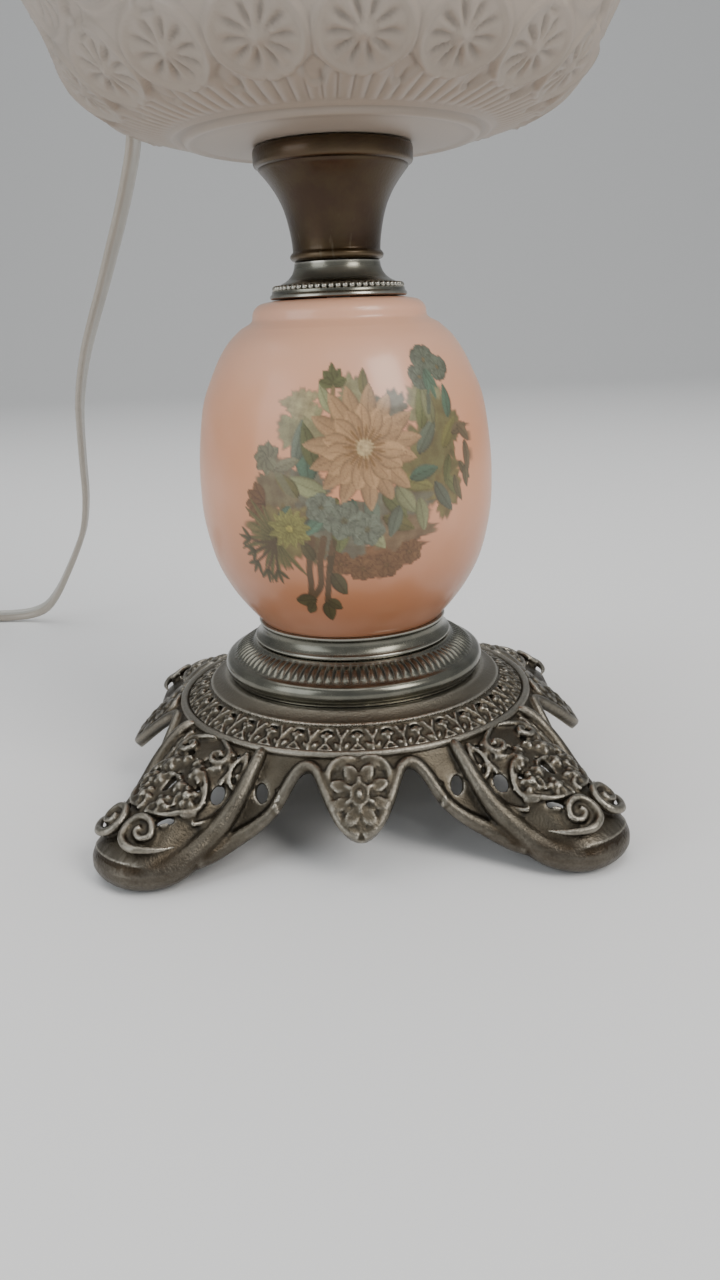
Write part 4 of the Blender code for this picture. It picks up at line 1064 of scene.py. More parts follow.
def pendant():
    """The palmette in the middle of a side, hanging at +X: an oval cluster of looped petals."""
    tilt = math.radians(42.8)
    out = np.array([math.sin(tilt), 0.0, math.cos(tilt)])
    down = np.array([math.cos(tilt), 0.0, -math.sin(tilt)])

    def spot(t, s, lift=0.0):
        return np.array([52.3, 0, 28.4]) + s * down + lift * out + np.array([0, t, 0])

    pieces = [dome(spot(0, 11.6), out, (10.4, 8.2, 2.2), fine=28)]
    pieces += [dome(spot(0, 3.5), out, (4.5, 6.2, 1.5), fine=20)]
    pieces += [ring(spot(0, 11.6, 2.5), out, 2.1, 0.6, 1.35), dome(spot(0, 11.6, 2.3), out, (1.8, 1.1, 1.3))]
    for i in range(8):
        a = TAU * (i + 0.5) / 8
        s, t = 11.6 + 6.3 * math.cos(a), 5.3 * math.sin(a)
        turn = math.degrees(math.atan2(t * 1.2, s - 11.6))
        pieces.append(dome(spot(t, s, 0.9), out, (3.0, 2.0, 1.6), turn, 16))
        pieces.append(ring(spot(t, s, 2.1), out, 1.45, 0.42, 1.45, turn))
    for i in range(6):
        a = TAU * i / 6
        s, t = 11.6 + 3.6 * math.cos(a), 3.0 * math.sin(a)
        pieces.append(dome(spot(t, s, 2.2), out, (1.7, 0.8, 1.0), math.degrees(a)))
    pieces.append(dome(spot(0, 19.6, 0.2), out, (2.9, 2.4, 1.7), 0, 16))
    for side in (-1, 1):
        pieces.append(dome(spot(side * 4.0, 2.8, 1.0), out, (3.2, 1.5, 1.1), side * 58))
        curl = [spot(side * 1.0, 1.2, 1.2), spot(side * 3.6, 1.0, 1.4), spot(side * 6.6, 2.6, 1.2),
                spot(side * 8.0, 5.4, 0.9), spot(side * 7.6, 8.0, 0.9)]
        pieces.append(rail(curl, [0.6, 0.8, 1.0, 1.1, 1.0]))
    return pieces


def turned_copies(piece, count, first=0.0):
    """Copies with their own meshes, turned round the lamp's axis."""
    made = []
    for i in range(count):
        pick(piece)
        bpy.ops.object.duplicate(linked=False)
        copy = bpy.context.object
        copy.matrix_world = Matrix.Rotation(first + TAU * i / count, 4, "Z") @ copy.matrix_world
        made.append(settle(copy))
    bpy.data.objects.remove(piece)
    return made


def cast(piece, voxel, keep=1.0):
    """The joined ornament melts into one skin. Flat places then give up some of their faces."""
    melt = piece.modifiers.new("melt", "REMESH")
    melt.mode, melt.voxel_size = "VOXEL", voxel * MM
    pick(piece)
    bpy.ops.object.modifier_apply(modifier="melt")
    soften = piece.modifiers.new("soften", "SMOOTH")
    soften.factor, soften.iterations = 0.5, 2
    bpy.ops.object.modifier_apply(modifier="soften")
    if keep < 1:
        thin = piece.modifiers.new("thin", "DECIMATE")
        thin.ratio = keep
        bpy.ops.object.modifier_apply(modifier="thin")
    piece.data.shade_smooth()
    return piece


leg = settle(join("leg", [skirt_sheet(), *half_leg(1), *half_leg(-1)]))
palmette = settle(join("palmette", pendant()))
legs = turned_copies(leg, 4, TAU / 8)
palmettes = turned_copies(palmette, 4)
skirt = cast(join("base_skirt", legs + palmettes), 0.45, 0.41)
low = points_of(skirt)
low[:, 2] = np.maximum(low[:, 2], 0.0)
move_points(skirt, low)
print("skirt faces:", len(skirt.data.polygons))

# %% [markdown]
# ## The pierced band
# Between the skirt and the collar lie a round bead, a ring of pierced florets and a plain cove.
# One floret is modelled and copied round the ring, and the same remesh melts the ring into one
# skin. The cove is spun, because nothing on it repeats.

# %% The pierced band and the plain cove above it
UNITS = 36


def band_unit():
    """One unit's floret, triangle and forked bar, at +X, on the band that slopes outwards."""
    out = np.array([0.505, 0.0, 0.863])
    down = np.array([0.863, 0.0, -0.505])

    def spot(t, s, lift=0.0):
        return np.array([43.6, 0, 33.2]) + s * down + lift * out + np.array([0, t, 0])

    pieces = []
    for turn in (-48, 0, 48):
        a = math.radians(turn)
        pieces.append(dome(spot(1.25 * math.sin(a), 4.7 - 1.5 * math.cos(a), 0.2), out,
                           (1.05, 0.62, 0.75), -turn, 10))
    pieces.append(dome(spot(0, 4.8, 0.2), out, (0.6, 0.6, 0.8), 0, 10))
    corners = [spot(-1.9, 8.2, 0.2), spot(0, 5.9, 0.3), spot(1.9, 8.2, 0.2), spot(-1.9, 8.2, 0.2)]
    for a, b in zip(corners, corners[1:]):
        pieces.append(rail([a, (a + b) / 2, b], 0.36, 1))
    fork = spot(4.1, 4.6, 0.2)
    for end in (spot(4.1, 8.3, 0.2), spot(2.4, 1.0, 0.2), spot(5.5, 1.0, 0.2)):
        pieces.append(rail([fork, (fork + end) / 2, end], 0.42, 1))
    for t in (-2.9, 2.9):
        pieces.append(dome(spot(t, 6.4, 0.1), out, (1.1, 0.55, 0.55), 10 * t, 10))
    return settle(join("unit", pieces))


def band_ring():
    outline = [(43.0, 33.5), (44.4, 32.7), (50.4, 29.1), (52.6, 28.0), (52.2, 25.8), (50.0, 26.9),
               (44.0, 30.4), (43.0, 31.0)]
    rim = turned("band", outline, 720, closed=True)
    cutters = []
    for i in range(UNITS):
        a = TAU * i / UNITS
        bpy.ops.object.select_all(action="DESELECT")
        bpy.ops.mesh.primitive_cylinder_add(vertices=14, radius=MM, depth=8 * MM)
        cutter = bpy.context.object
        tilt = Matrix.Translation(Vector((45.4, 0, 32.1)) * MM) @ Matrix.Rotation(0.53, 4, "Y")
        cutter.matrix_world = Matrix.Rotation(a, 4, "Z") @ tilt @ Matrix.Diagonal((0.75, 1.5, 1, 1))
        cutters.append(settle(cutter))
    tool = join("tool", cutters)
    cut = rim.modifiers.new("cut", "BOOLEAN")
    cut.operation, cut.object, cut.solver = "DIFFERENCE", tool, "EXACT"
    pick(rim)
    bpy.ops.object.modifier_apply(modifier="cut")
    bpy.data.objects.remove(tool)
    return rim


def base_cove():
    outline = [(3.6, 36.0), (38.4, 36.0), (39.4, 35.85), (40.0, 35.3), (40.8, 34.75), (41.9, 34.25)]
    outline += [(43.0, 33.95), (43.6, 33.9), (43.95, 33.6), (43.9, 32.8), (43.0, 31.2), (38.0, 33.6)]
    outline += [(3.6, 33.6)]
    cove = turned("cove", outline, 256, closed=True)
    smooth_faces(cove, 45)
    lip = []
    for turn in np.linspace(0, 360, 17)[:-1]:
        a = math.radians(turn)
        lip.append((52.4 + 1.15 * math.cos(a), 28.75 + 1.15 * math.sin(a)))
    bead = turned("bead", lip, 256, closed=True)
    bead.data.shade_smooth()
    return [cove, bead]


units = turned_copies(band_unit(), UNITS)
band = cast(join("band", [band_ring(), *units]), 0.42)
print("band faces:", len(band.data.polygons))
plate = settle(join("base_plate", [band, *base_cove()]))
finished(skirt, "lamp", "antique_casting", "base_casting")
finished(plate, "lamp", "antique_casting", "base_casting")

# %% [markdown]
# ## Turned metal round the stem
# The gadroon collar has ninety small flutes on its sloping band: the ring is spun with eight steps
# to a flute, and then the band's points are moved by a wave. The cap ring carries a row of beads.


# %% Turn the gadroon collar and the seat ring
FLUTES = 90


def gadroon_collar():
    outline = [(28.3, 46.4), (29.6, 46.4)]
    outline += [(29.9, 46.2), (30.3, 45.7), (31.0, 45.35), (31.9, 44.95), (32.8, 44.5)]
    outline += [(33.7, 44.0), (34.6, 43.5), (35.4, 42.95), (36.0, 42.5), (36.35, 42.3)]
    for turn in np.linspace(78, -68, 16):
        a = math.radians(turn)
        outline.append((36.75 + 2.15 * math.cos(a), 39.35 + 2.75 * math.sin(a)))
    outline += [(37.5, 36.75), (37.5, 36.3), (35.9, 36.3), (34.9, 40.7), (29.6, 44.6), (28.3, 44.7)]
    ring = turned("gadroon_collar", outline, FLUTES * 8, closed=True)
    radius, angle, height = polar(points_of(ring))
    band = hump(radius, 33.1, 2.75) ** 0.5 * (height > 42.2)
    wave = np.abs(np.sin(angle * FLUTES / 2)) ** 0.8 - 0.55
    lift = 0.85 * band * wave
    move_points(ring, from_polar(radius + 0.5 * lift, angle, height + 0.8 * lift))
    smooth_faces(ring, 50)
    return finished(ring, "lamp", "antique_collar", "gadroon_collar")


def seat_ring():
    outline = [(26.2, 52.8), (27.6, 52.8), (27.95, 52.6), (28.0, 52.2), (27.85, 51.8), (27.65, 51.4)]
    for share in np.linspace(0, 1, 9):
        outline.append((27.6 + 1.45 * share**2.6, 51.2 - 3.3 * share))
    outline += [(29.35, 47.75), (29.5, 47.4), (29.4, 46.95), (29.0, 46.7), (20.7, 46.7)]
    outline += [(20.7, 51.1), (25.1, 51.1)]
    ring = turned("seat_ring", outline, 160, closed=True)
    smooth_faces(ring, 50)
    return finished(ring, "lamp", "antique_collar", "seat_ring")


collar = gadroon_collar()
seat = seat_ring()

# %% [markdown]
# ## The cap and the trumpet
# The cap is spun, and one bead is copied round its edge. The trumpet is spun sheet metal: its
# outline is a smooth line through a few measured points, with a bead at its foot and a rolled rim.

# %% Turn the beaded cap and the trumpet
BEADS = 60


def cap_ring():
    low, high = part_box("cap_ring")
    foot, top = low[2] / MM, high[2] / MM
    outline = [(17.2, foot), (18.5, foot), (18.95, foot + 0.35), (18.9, foot + 0.9)]
    outline += [(18.55, foot + 1.25), (18.35, foot + 1.5), (18.3, foot + 2.1), (17.5, foot + 2.5)]
    outline += [(16.6, foot + 2.75), (16.3, foot + 3.1), (16.2, foot + 3.6), (15.8, foot + 3.9)]
    outline += [(14.5, foot + 4.5), (13.4, foot + 5.3), (12.5, foot + 6.4), (12.0, foot + 7.6)]
    outline += [(11.8, foot + 8.6), (11.75, top), (10.4, top), (10.6, foot + 6.6)]
    outline += [(13.6, foot + 3.2), (17.0, foot + 1.4)]
    ring = turned("cap_ring", outline, 144, closed=True)
    smooth_faces(ring, 45)
    beads = []
    for i in range(BEADS):
        a = TAU * i / BEADS
        place = Vector((17.35 * math.cos(a), 17.35 * math.sin(a), foot + 2.75)) * MM
        bpy.ops.object.select_all(action="DESELECT")
        bpy.ops.mesh.primitive_uv_sphere_add(segments=10, ring_count=6, radius=0.86 * MM, location=place)
        bpy.context.object.data.shade_smooth()
        beads.append(bpy.context.object)
    ring = settle(join("cap_ring", [ring, *beads]))
    return finished(ring, "lamp", "antique_collar", "cap_ring")


def connector():
    low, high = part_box("connector")
    foot, top = low[2] / MM, high[2] / MM
    outline = [(10.0, foot), (11.6, foot), (12.3, foot + 0.3), (12.75, foot + 0.9)]
    outline += [(12.8, foot + 1.5), (12.4, foot + 2.1), (12.0, foot + 2.45), (11.95, foot + 2.9)]
    waist = [(12.0, 3.6), (12.15, 5.4), (12.55, 8.0), (13.2, 11.0), (14.15, 14.0)]
    waist += [(15.6, 17.0), (17.3, 19.6), (18.9, 21.6), (19.7, 22.5)]
    outline += [(radius, foot + rise) for radius, rise in smooth_line(waist, 3)]
    outline += [(20.0, foot + 22.9), (20.05, foot + 23.3), (20.5, foot + 23.5), (21.05, foot + 23.8)]
    outline += [(21.3, foot + 24.4), (21.3, top - 0.9), (21.15, top - 0.35), (20.8, top)]
    inner = [(radius - 1.3, height) for radius, height in outline[7:-6][::-4]]
    outline += [(19.6, top), (19.3, top - 3.5)] + inner[1:] + [(10.0, foot + 2.5)]
    trumpet = turned("connector", outline, 144, closed=True)
    smooth_faces(trumpet, 45)
    return finished(trumpet, "lamp", "aged_brass", "connector")


cap = cap_ring()
trumpet = connector()

# %% [markdown]
# ## The painted glass stem
# The glass is spun with five times finer columns in front, where the bouquet is. The bouquet is
# painted on the points: each stroke is a shape in millimetres of arc and of height, laid from
# back to front, and it darkens at its edge the way thin oil colour does.

# %% Spin the stem
GLASS_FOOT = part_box("glass_stem")[0][2] / MM
GLASS_TALL = 91.1
GLASS_WIDEST = 42.0
GLASS_SHAPE = [
    (0.592, 0.000), (0.640, 0.016), (0.733, 0.065), (0.829, 0.127), (0.910, 0.199),
    (0.957, 0.270), (0.993, 0.363), (1.000, 0.451), (0.993, 0.539), (0.967, 0.638),
    (0.933, 0.715), (0.876, 0.780), (0.810, 0.841), (0.738, 0.888), (0.655, 0.923),
]
GLASS_MOUTH = [
    (0.600, 0.936), (0.580, 0.944), (0.575, 0.953), (0.572, 0.964), (0.562, 0.975),
    (0.540, 0.986), (0.505, 0.994), (0.430, 1.000),
]


def even(points, gap):
    """The same line with a point every gap."""
    far = np.concatenate([[0], np.cumsum(np.linalg.norm(np.diff(points, axis=0), axis=1))])
    stops = np.linspace(0, far[-1], max(2, round(far[-1] / gap)))
    return np.column_stack([np.interp(stops, far, points[:, k]) for k in range(points.shape[1])])


def glass_stem():
    size = np.array([GLASS_WIDEST, GLASS_TALL])
    body = smooth_line(np.array(GLASS_SHAPE) * size, 12)
    mouth = smooth_line(np.array(GLASS_MOUTH) * size, 3)
    outside = np.vstack([even(body, 0.42), mouth])
    inside = np.array([(r - 3.0, h) for r, h in body[::14] if h > 3][::-1])
    inside = np.vstack([[(15.0, 88.0)], inside, [(21.9, 3.0), (21.9, 0.0)]])
    outline = np.vstack([outside, inside]) + [0, GLASS_FOOT]
    stem = turned(
        "glass_stem", outline.tolist(), 210, closed=True,
        angle=math.radians(104), start=math.radians(-38), more=84,
    )
    smooth_faces(stem, 60)
    return stem


stem = glass_stem()
print("stem points:", len(stem.data.vertices))

# %% [markdown]
# ## Painting in code
# An image could be wrapped round the glass, but then it would have to be kept beside this file. So
# the glass has many points in front, and each stroke mixes its colour into the points that it
# covers. The strokes are kinds of leaf, petal and flower, as a china painter would practise them.

# %% The strokes of the bouquet
class Canvas:
    """Colours and cover on the stem's front, in millimetres of arc across and of height."""

    def __init__(self, piece):
        radius, angle, height = polar(points_of(piece))
        turn = (angle + TAU / 4 + math.pi) % TAU - math.pi
        self.x, self.y = turn * GLASS_WIDEST, height
        skin = np.interp(height - GLASS_FOOT, *(np.array(GLASS_SHAPE) * [GLASS_WIDEST, GLASS_TALL]).T[::-1])
        self.open = (radius > skin - 1.5) & (np.abs(turn) < 0.95)
        self.colour = np.zeros((len(height), 3))
        self.cover = np.zeros(len(height))
        self.rng = np.random.default_rng(7)

    def lay(self, share, colour, shade=None):
        share = np.clip(share, 0, 1) * self.open
        tint = np.array(colour)[None, :] * (1 if shade is None else np.clip(shade, 0.25, 1.9)[:, None])
        self.colour = self.colour * (1 - share[:, None]) + tint * share[:, None]
        self.cover = np.maximum(self.cover, share)

    def local(self, x, y, degrees):
        a = math.radians(degrees)
        u, v = self.x - x, self.y - y
        return u * math.cos(a) + v * math.sin(a), v * math.cos(a) - u * math.sin(a)

    def leaf(self, x, y, length, width, degrees, colour, curl=0.0, thin=0.85, vein=0.35):
        """A pointed leaf or petal from its foot, with a dark vein and edge and one lit side."""
        u, v = self.local(x, y, degrees)
        share = u / length
        inside = np.clip(share, 0, 1)
        v = v - curl * length * inside**2
        half = 0.5 * width * np.sin(math.pi * inside**thin) ** 0.75 + 0.01
        across = np.abs(v) / half
        mask = ramp(across, 1.0 + 0.28 / max(width * 0.5, 0.3), 1.0 - 0.28 / max(width * 0.5, 0.3))
        mask = mask * ((share > -0.01) & (share < 1.01))
        shade = 1.0 + 0.22 * v / half - 0.40 * ramp(across, 0.62, 1.05) - 0.25 * (1 - inside) ** 3
        shade -= vein * hump(v, 0, 0.32) * (inside < 0.9)
        self.lay(mask * 0.96, colour, shade)

    def patch(self, x, y, wide, tall, degrees, colour, ragged=0.22, soft=0.10, strength=0.9):
        """A loose mass of leaves: an ellipse with a ragged edge and mottled inside."""
        u, v = self.local(x, y, degrees)
        u, v = u / (0.5 * wide), v / (0.5 * tall)
        turn, reach = np.arctan2(v, u), np.hypot(u, v)
        phases = self.rng.uniform(0, TAU, 7)
        edge = 1 + ragged * sum(
            np.sin(k * turn + phase) / (1 + 0.22 * k)
            for k, phase in zip((3, 5, 8, 12, 17, 23, 31), phases)
        )
        mottle = np.sin(u * 5.1 + phases[0]) * np.sin(v * 4.3 + phases[1]) + 0.7 * np.sin(
            9.0 * u + 6.0 * v + phases[2]
        ) * np.sin(8.0 * v - 5.0 * u + phases[3])
        mask = ramp(reach / edge, 1 + soft, 1 - soft)
        self.lay(mask * strength, colour, 1 + 0.24 * mottle)

    def stalk(self, points, width, colour):
        points = smooth_line(points, 5)
        for (x0, y0), (x1, y1) in zip(points, points[1:]):
            length = math.hypot(x1 - x0, y1 - y0)
            u, v = self.local(x0, y0, math.degrees(math.atan2(y1 - y0, x1 - x0)))
            gap = np.hypot(v, np.maximum(0, np.maximum(-u, u - length)))
            self.lay(ramp(gap, 0.5 * width + 0.25, 0.5 * width - 0.1) * 0.9, colour)

    def blossom(self, x, y, radius, petals, colour, heart, turn=0.0, width=1.5, lean=1.0):
        """Petals all round a heart. Lean below one shortens the flower's height."""
        for ring, size in ((0, 1.0), (1, 0.68)):
            for i in range(petals):
                way = 360 * (i + 0.5 * ring) / petals + turn + self.rng.uniform(-4, 4)
                reach = radius * size * self.rng.uniform(0.9, 1.05)
                a = math.radians(way)
                reach *= math.hypot(math.cos(a), lean * math.sin(a))
                foot = 0.10 * radius
                tint = np.array(colour) * self.rng.uniform(0.86, 1.10) * (1 + 0.10 * ring)
                self.leaf(
                    x + foot * math.cos(a), y + foot * lean * math.sin(a), reach,
                    width * radius * math.pi / petals, way, tint, thin=1.25, vein=0.28,
                )
        self.patch(x, y, 0.34 * radius, 0.34 * radius * lean, 0, heart, 0.12)


# %% Paint the bouquet
TEAL, SAGE, OLIVE = (0.070, 0.135, 0.115), (0.225, 0.235, 0.150), (0.140, 0.130, 0.055)
MOSS, SLATE, BARK = (0.110, 0.125, 0.060), (0.095, 0.120, 0.110), (0.070, 0.050, 0.028)
RUSSET, TAN, CREAM = (0.170, 0.085, 0.045), (0.43, 0.255, 0.165), (0.56, 0.42, 0.29)


def paint_masses(art):
    """The broad greens and browns behind everything."""
    for x, y, wide, tall, turn, colour in [
        (-11.0, 112.0, 12.5, 15.0, 10, SAGE),
        (-11.5, 117.5, 9.5, 7.0, 0, (0.33, 0.30, 0.20)),
        (3.0, 118.5, 10.0, 10.0, 0, SAGE),
        (12.0, 115.0, 11.0, 9.0, 30, SLATE),
        (24.0, 114.5, 13.5, 13.0, 70, SAGE),
        (29.0, 110.0, 10.0, 16.0, 10, MOSS),
        (23.0, 101.0, 17.0, 19.0, 15, MOSS),
        (28.0, 93.5, 10.0, 12.0, -20, OLIVE),
        (11.0, 90.5, 26.0, 12.0, 8, SLATE),
        (-12.0, 97.0, 14.0, 11.0, 0, SLATE),
        (-18.5, 97.0, 11.0, 14.0, 20, (0.125, 0.120, 0.080)),
        (-17.5, 85.5, 19.0, 15.0, -8, OLIVE),
        (-9.0, 85.0, 12.0, 13.0, 0, (0.10, 0.09, 0.05)),
        (8.0, 79.0, 26.0, 10.0, 12, RUSSET),
        (-1.0, 83.5, 15.0, 12.0, 0, SLATE),
        (15.0, 84.5, 16.0, 9.0, 10, (0.15, 0.11, 0.075)),
    ]:
        art.patch(x, y, wide, tall, turn, colour)


def paint_leaves(art):
    """Leaves that stand clear, each with its own turn."""
    tints = [TEAL, SLATE, MOSS, SAGE, OLIVE]
    for i, (x, y, length, width, turn) in enumerate([
        (-9.5, 98.0, 15.0, 6.5, 95), (-13.5, 103.0, 11.0, 4.0, 70), (-7.5, 101.5, 12.0, 4.5, 108),
        (-5.0, 95.5, 11.0, 5.0, 165), (-2.0, 94.0, 8.0, 4.5, 215), (1.5, 94.0, 9.0, 4.5, 255),
        (5.0, 94.5, 8.5, 4.5, 290), (9.0, 95.0, 9.5, 4.5, 318), (13.0, 96.5, 9.0, 4.5, 300),
        (13.0, 98.5, 11.0, 4.5, 340), (16.5, 98.0, 9.0, 4.0, 20), (19.5, 104.0, 10.5, 4.5, 55),
        (21.0, 110.0, 11.0, 4.5, 75), (25.0, 111.0, 9.5, 4.0, 100), (27.5, 104.5, 9.5, 4.0, 60),
        (30.5, 112.0, 8.5, 3.6, 82), (24.0, 96.5, 10.0, 4.0, 300), (27.5, 97.5, 8.5, 3.6, 320),
        (19.0, 93.0, 9.0, 4.0, 285), (-12.5, 94.5, 9.0, 4.0, 130), (-15.0, 92.5, 9.0, 3.8, 240),
        (-4.0, 89.0, 9.0, 4.4, 200), (-1.5, 88.5, 9.0, 4.6, 262), (4.0, 88.0, 9.0, 4.6, 300),
        (9.0, 89.0, 9.5, 4.4, 335), (-6.5, 90.5, 8.0, 3.6, 235), (13.5, 91.5, 8.5, 3.8, 250),
        (29.5, 103.0, 8.0, 3.0, 250), (-3.0, 115.0, 8.0, 3.4, 120), (6.0, 118.5, 7.0, 3.0, 95),
    ]):
        base = np.array(tints[i % 5]) * (1.15 + 0.25 * math.sin(2.3 * i))
        art.leaf(x, y, length, width, turn, base, curl=0.12 * math.sin(1.7 * i))


def paint_edges(art):
    """Buds, sprigs and stalks round the outside."""
    art.stalk([(-3.0, 111.0), (-2.9, 116.0), (-2.6, 122.0)], 1.1, (0.17, 0.14, 0.075))
    for turn, length in ((60, 4.6), (95, 5.4), (128, 4.6), (20, 4.2), (165, 4.4)):
        art.leaf(-2.6, 121.6, length, 2.8, turn, MOSS)
    art.stalk([(24.0, 114.0), (25.5, 120.0), (27.0, 125.0)], 1.2, SLATE)
    for x, y, size, turn in ((27.0, 126.5, 4.6, 30), (31.5, 124.5, 4.2, 80), (23.5, 122.5, 3.8, 10)):
        art.blossom(x, y, size, 5, np.array(SLATE) * 1.25, (0.12, 0.11, 0.06), turn, 1.7, 0.75)
    for turn, length in ((280, 8.0), (262, 6.5), (300, 6.0)):
        art.leaf(26.0, 124.5, length, 2.2, turn, np.array(TEAL) * 1.35)
    for x, y, turn, length in ((31, 108, 25, 7.5), (33.5, 110.0, 330, 7.0), (36.0, 106.0, 285, 9.0)):
        art.leaf(x, y, length, 3.2, turn, (0.15, 0.115, 0.08), curl=-0.2)
    for x, y, turn, length in ((33, 101, 300, 7.0), (31, 97.5, 280, 7.5), (35.5, 99.5, 265, 6.0)):
        art.leaf(x, y, length, 2.6, turn, (0.13, 0.11, 0.07), curl=0.2)
    art.stalk([(-14.0, 94.0), (-17.0, 99.0), (-20.5, 103.5)], 1.8, (0.15, 0.145, 0.10))
    for turn in (40, 85, 130, 175, 220, 265, 310):
        art.leaf(-21.0, 104.3, 4.3, 3.5, turn, (0.17, 0.165, 0.115))
    art.leaf(-19.0, 101.5, 7.5, 3.4, 20, (0.20, 0.19, 0.14))
    for turn in (120, 150, 180, 210, 240):
        art.leaf(-22.0, 92.5, 6.6, 3.6, turn, RUSSET, thin=1.2)
    for turn in range(100, 300, 14):
        art.leaf(-19.5, 83.5, 11.0 + 2.5 * math.sin(turn), 1.5, turn + 6, OLIVE, curl=0.1)
    for x, y, turn in ((-27, 80, 205), (-27, 77, 235), (-24, 75, 262), (-21, 75, 285), (-28, 83, 170)):
        art.stalk([(-20, 83), ((x - 20) / 2, (y + 82) / 2), (x, y)], 0.7, BARK)
        for side in (-38, 0, 38):
            art.leaf(x, y, 4.4, 1.3, turn + side, (0.09, 0.085, 0.04))
    for x, y, size in ((-2.5, 77.0, 4.0), (3.5, 75.5, 4.4), (10.0, 76.0, 4.6), (16.5, 79.0, 4.2)):
        art.blossom(x, y, size, 7, np.array(RUSSET) * 1.05, (0.12, 0.07, 0.03), 20 * x, 1.6, 0.8)
    for line in (
        [(-6.5, 84.0), (-8.0, 77.0), (-8.5, 71.0), (-12.0, 66.5)],
        [(-4.0, 83.0), (-5.5, 76.0), (-6.5, 70.0), (-7.5, 64.5)],
        [(-9.5, 84.0), (-11.0, 77.0), (-11.5, 70.0), (-13.0, 66.0)],
    ):
        art.stalk(line, 1.7, BARK)
    for x, y, turn, length, width in (
        (-5.0, 74.5, 300, 7.5, 4.4), (-10.5, 66.5, 185, 7.0, 4.2), (-11.5, 65.5, 230, 4.5, 3.2),
        (-7.5, 66.0, 275, 6.5, 4.4), (-7.0, 66.5, 325, 5.0, 3.4), (-9.5, 78.0, 120, 6.0, 3.6),
    ):
        art.leaf(x, y, length, width, turn, (0.085, 0.075, 0.04))


def paint_flowers(art):
    for x, y, size, turn in ((-1.0, 88.5, 5.2, 10), (4.8, 86.0, 4.6, 50), (-6.8, 92.0, 4.2, 30)):
        art.blossom(x, y, size, 6, (0.150, 0.175, 0.165), (0.10, 0.10, 0.07), turn, 1.8, 0.9)
    art.blossom(-15.5, 86.5, 5.8, 13, (0.23, 0.215, 0.075), (0.33, 0.30, 0.08), 4, 1.4, 0.9)
    art.blossom(5.0, 106.5, 14.2, 15, TAN, CREAM, 8, 1.55, 0.98)
    for turn in range(0, 360, 24):
        a = math.radians(turn + 9)
        art.stalk([(5 + 2.2 * math.cos(a), 106.5 + 2.2 * math.sin(a)),
                   (5 + 5.2 * math.cos(a), 106.5 + 5.2 * math.sin(a))], 0.4, (0.22, 0.12, 0.06))


art = Canvas(stem)
paint_masses(art)
paint_leaves(art)
paint_edges(art)
paint_flowers(art)
layer = stem.data.color_attributes.new(name="bouquet", type="FLOAT_COLOR", domain="POINT")
layer.data.foreach_set("color", np.column_stack([art.colour * [0.84, 0.86, 0.66], art.cover]).ravel())
print("painted points:", int((art.cover > 0.5).sum()))
finished(stem, "lamp", "painted_glass", "glass_stem")

# %% [markdown]
# ## The pressed glass fount
# The fount is spun with 720 columns, and its outer points are pushed in and out by formulas. Each
# of eighteen daisies is a ring, a shallow dish and ten pressed petals. Triangles fill the gaps
# below them, flutes run down to a double ring, and a second row of daisies sits half a turn on.

# %% Spin and press the fount
FOUNT_FOOT = 180.8
FOUNT_SHAPE = [
    (0.439, 0.014), (0.457, 0.012), (0.482, 0.028), (0.551, 0.040), (0.659, 0.070), (0.734, 0.107),
    (0.787, 0.150), (0.821, 0.199), (0.846, 0.272), (0.890, 0.358), (0.941, 0.463), (0.982, 0.553),
    (1.000, 0.639), (0.988, 0.724), (0.939, 0.804), (0.841, 0.865), (0.671, 0.920), (0.463, 0.963),
    (0.293, 0.987),
]
DAISIES = 18
FIRST_DAISY = math.radians(-90 + 6.9)


def daisy(x, y, size):
    """How far out the pressed daisy stands at a place on its disc, in millimetres."""
    reach, way = np.hypot(x, y) / size, np.arctan2(y, x)
    border = 0.75 * hump(reach, 1.0, 0.13)
    dish = -0.45 * ramp(reach, 0.95, 0.55)
    petal = np.clip(np.cos(10 * way), 0, 1) ** 0.8 * hump(reach, 0.50, 0.36) ** 0.6
    button = 0.7 * hump(reach, 0.0, 0.17)
    return border + dish - 1.15 * petal + button


def pressed(radius, angle, along, rows):
    """The whole pattern over the outside: along is the way up the wall from the foot."""
    out = 0.8 * hump(radius, 38.2, 1.2) * (along < 12) + 0.8 * hump(radius, 41.6, 1.2)
    step = TAU / DAISIES
    low, high = rows
    fan = ramp(along, low - 23, low - 19) * ramp(along, low - 8.5, low - 11.0)
    out += 0.6 * fan * (np.abs(np.sin(45 * angle)) ** 0.7 - 0.5)
    taken = np.zeros(len(out))
    for middle, start, size, wide in ((low, 0.0, 10.2, 63.5), (high, 0.5 * step, 10.8, 70.5)):
        off = (angle - FIRST_DAISY - start + 0.5 * step) % step - 0.5 * step
        out += daisy(wide * off, along - middle, size)
        gap = (angle - FIRST_DAISY - start) % step - 0.5 * step
        x, y = wide * gap, along - (middle - 8.0)
        notch = ramp(np.abs(x) + 0.75 * np.abs(y) + 0.4 * y, 4.6, 3.0) * (np.abs(y) < 6)
        out -= 0.9 * notch
        taken = np.maximum(taken, hump(along, middle, size * 1.1))
    rib = ramp(along, high + 12, high + 18)
    out += 0.5 * rib * (np.abs(np.sin(36 * angle)) ** 0.6 - 0.5) * ramp(radius, 40, 55)
    return out


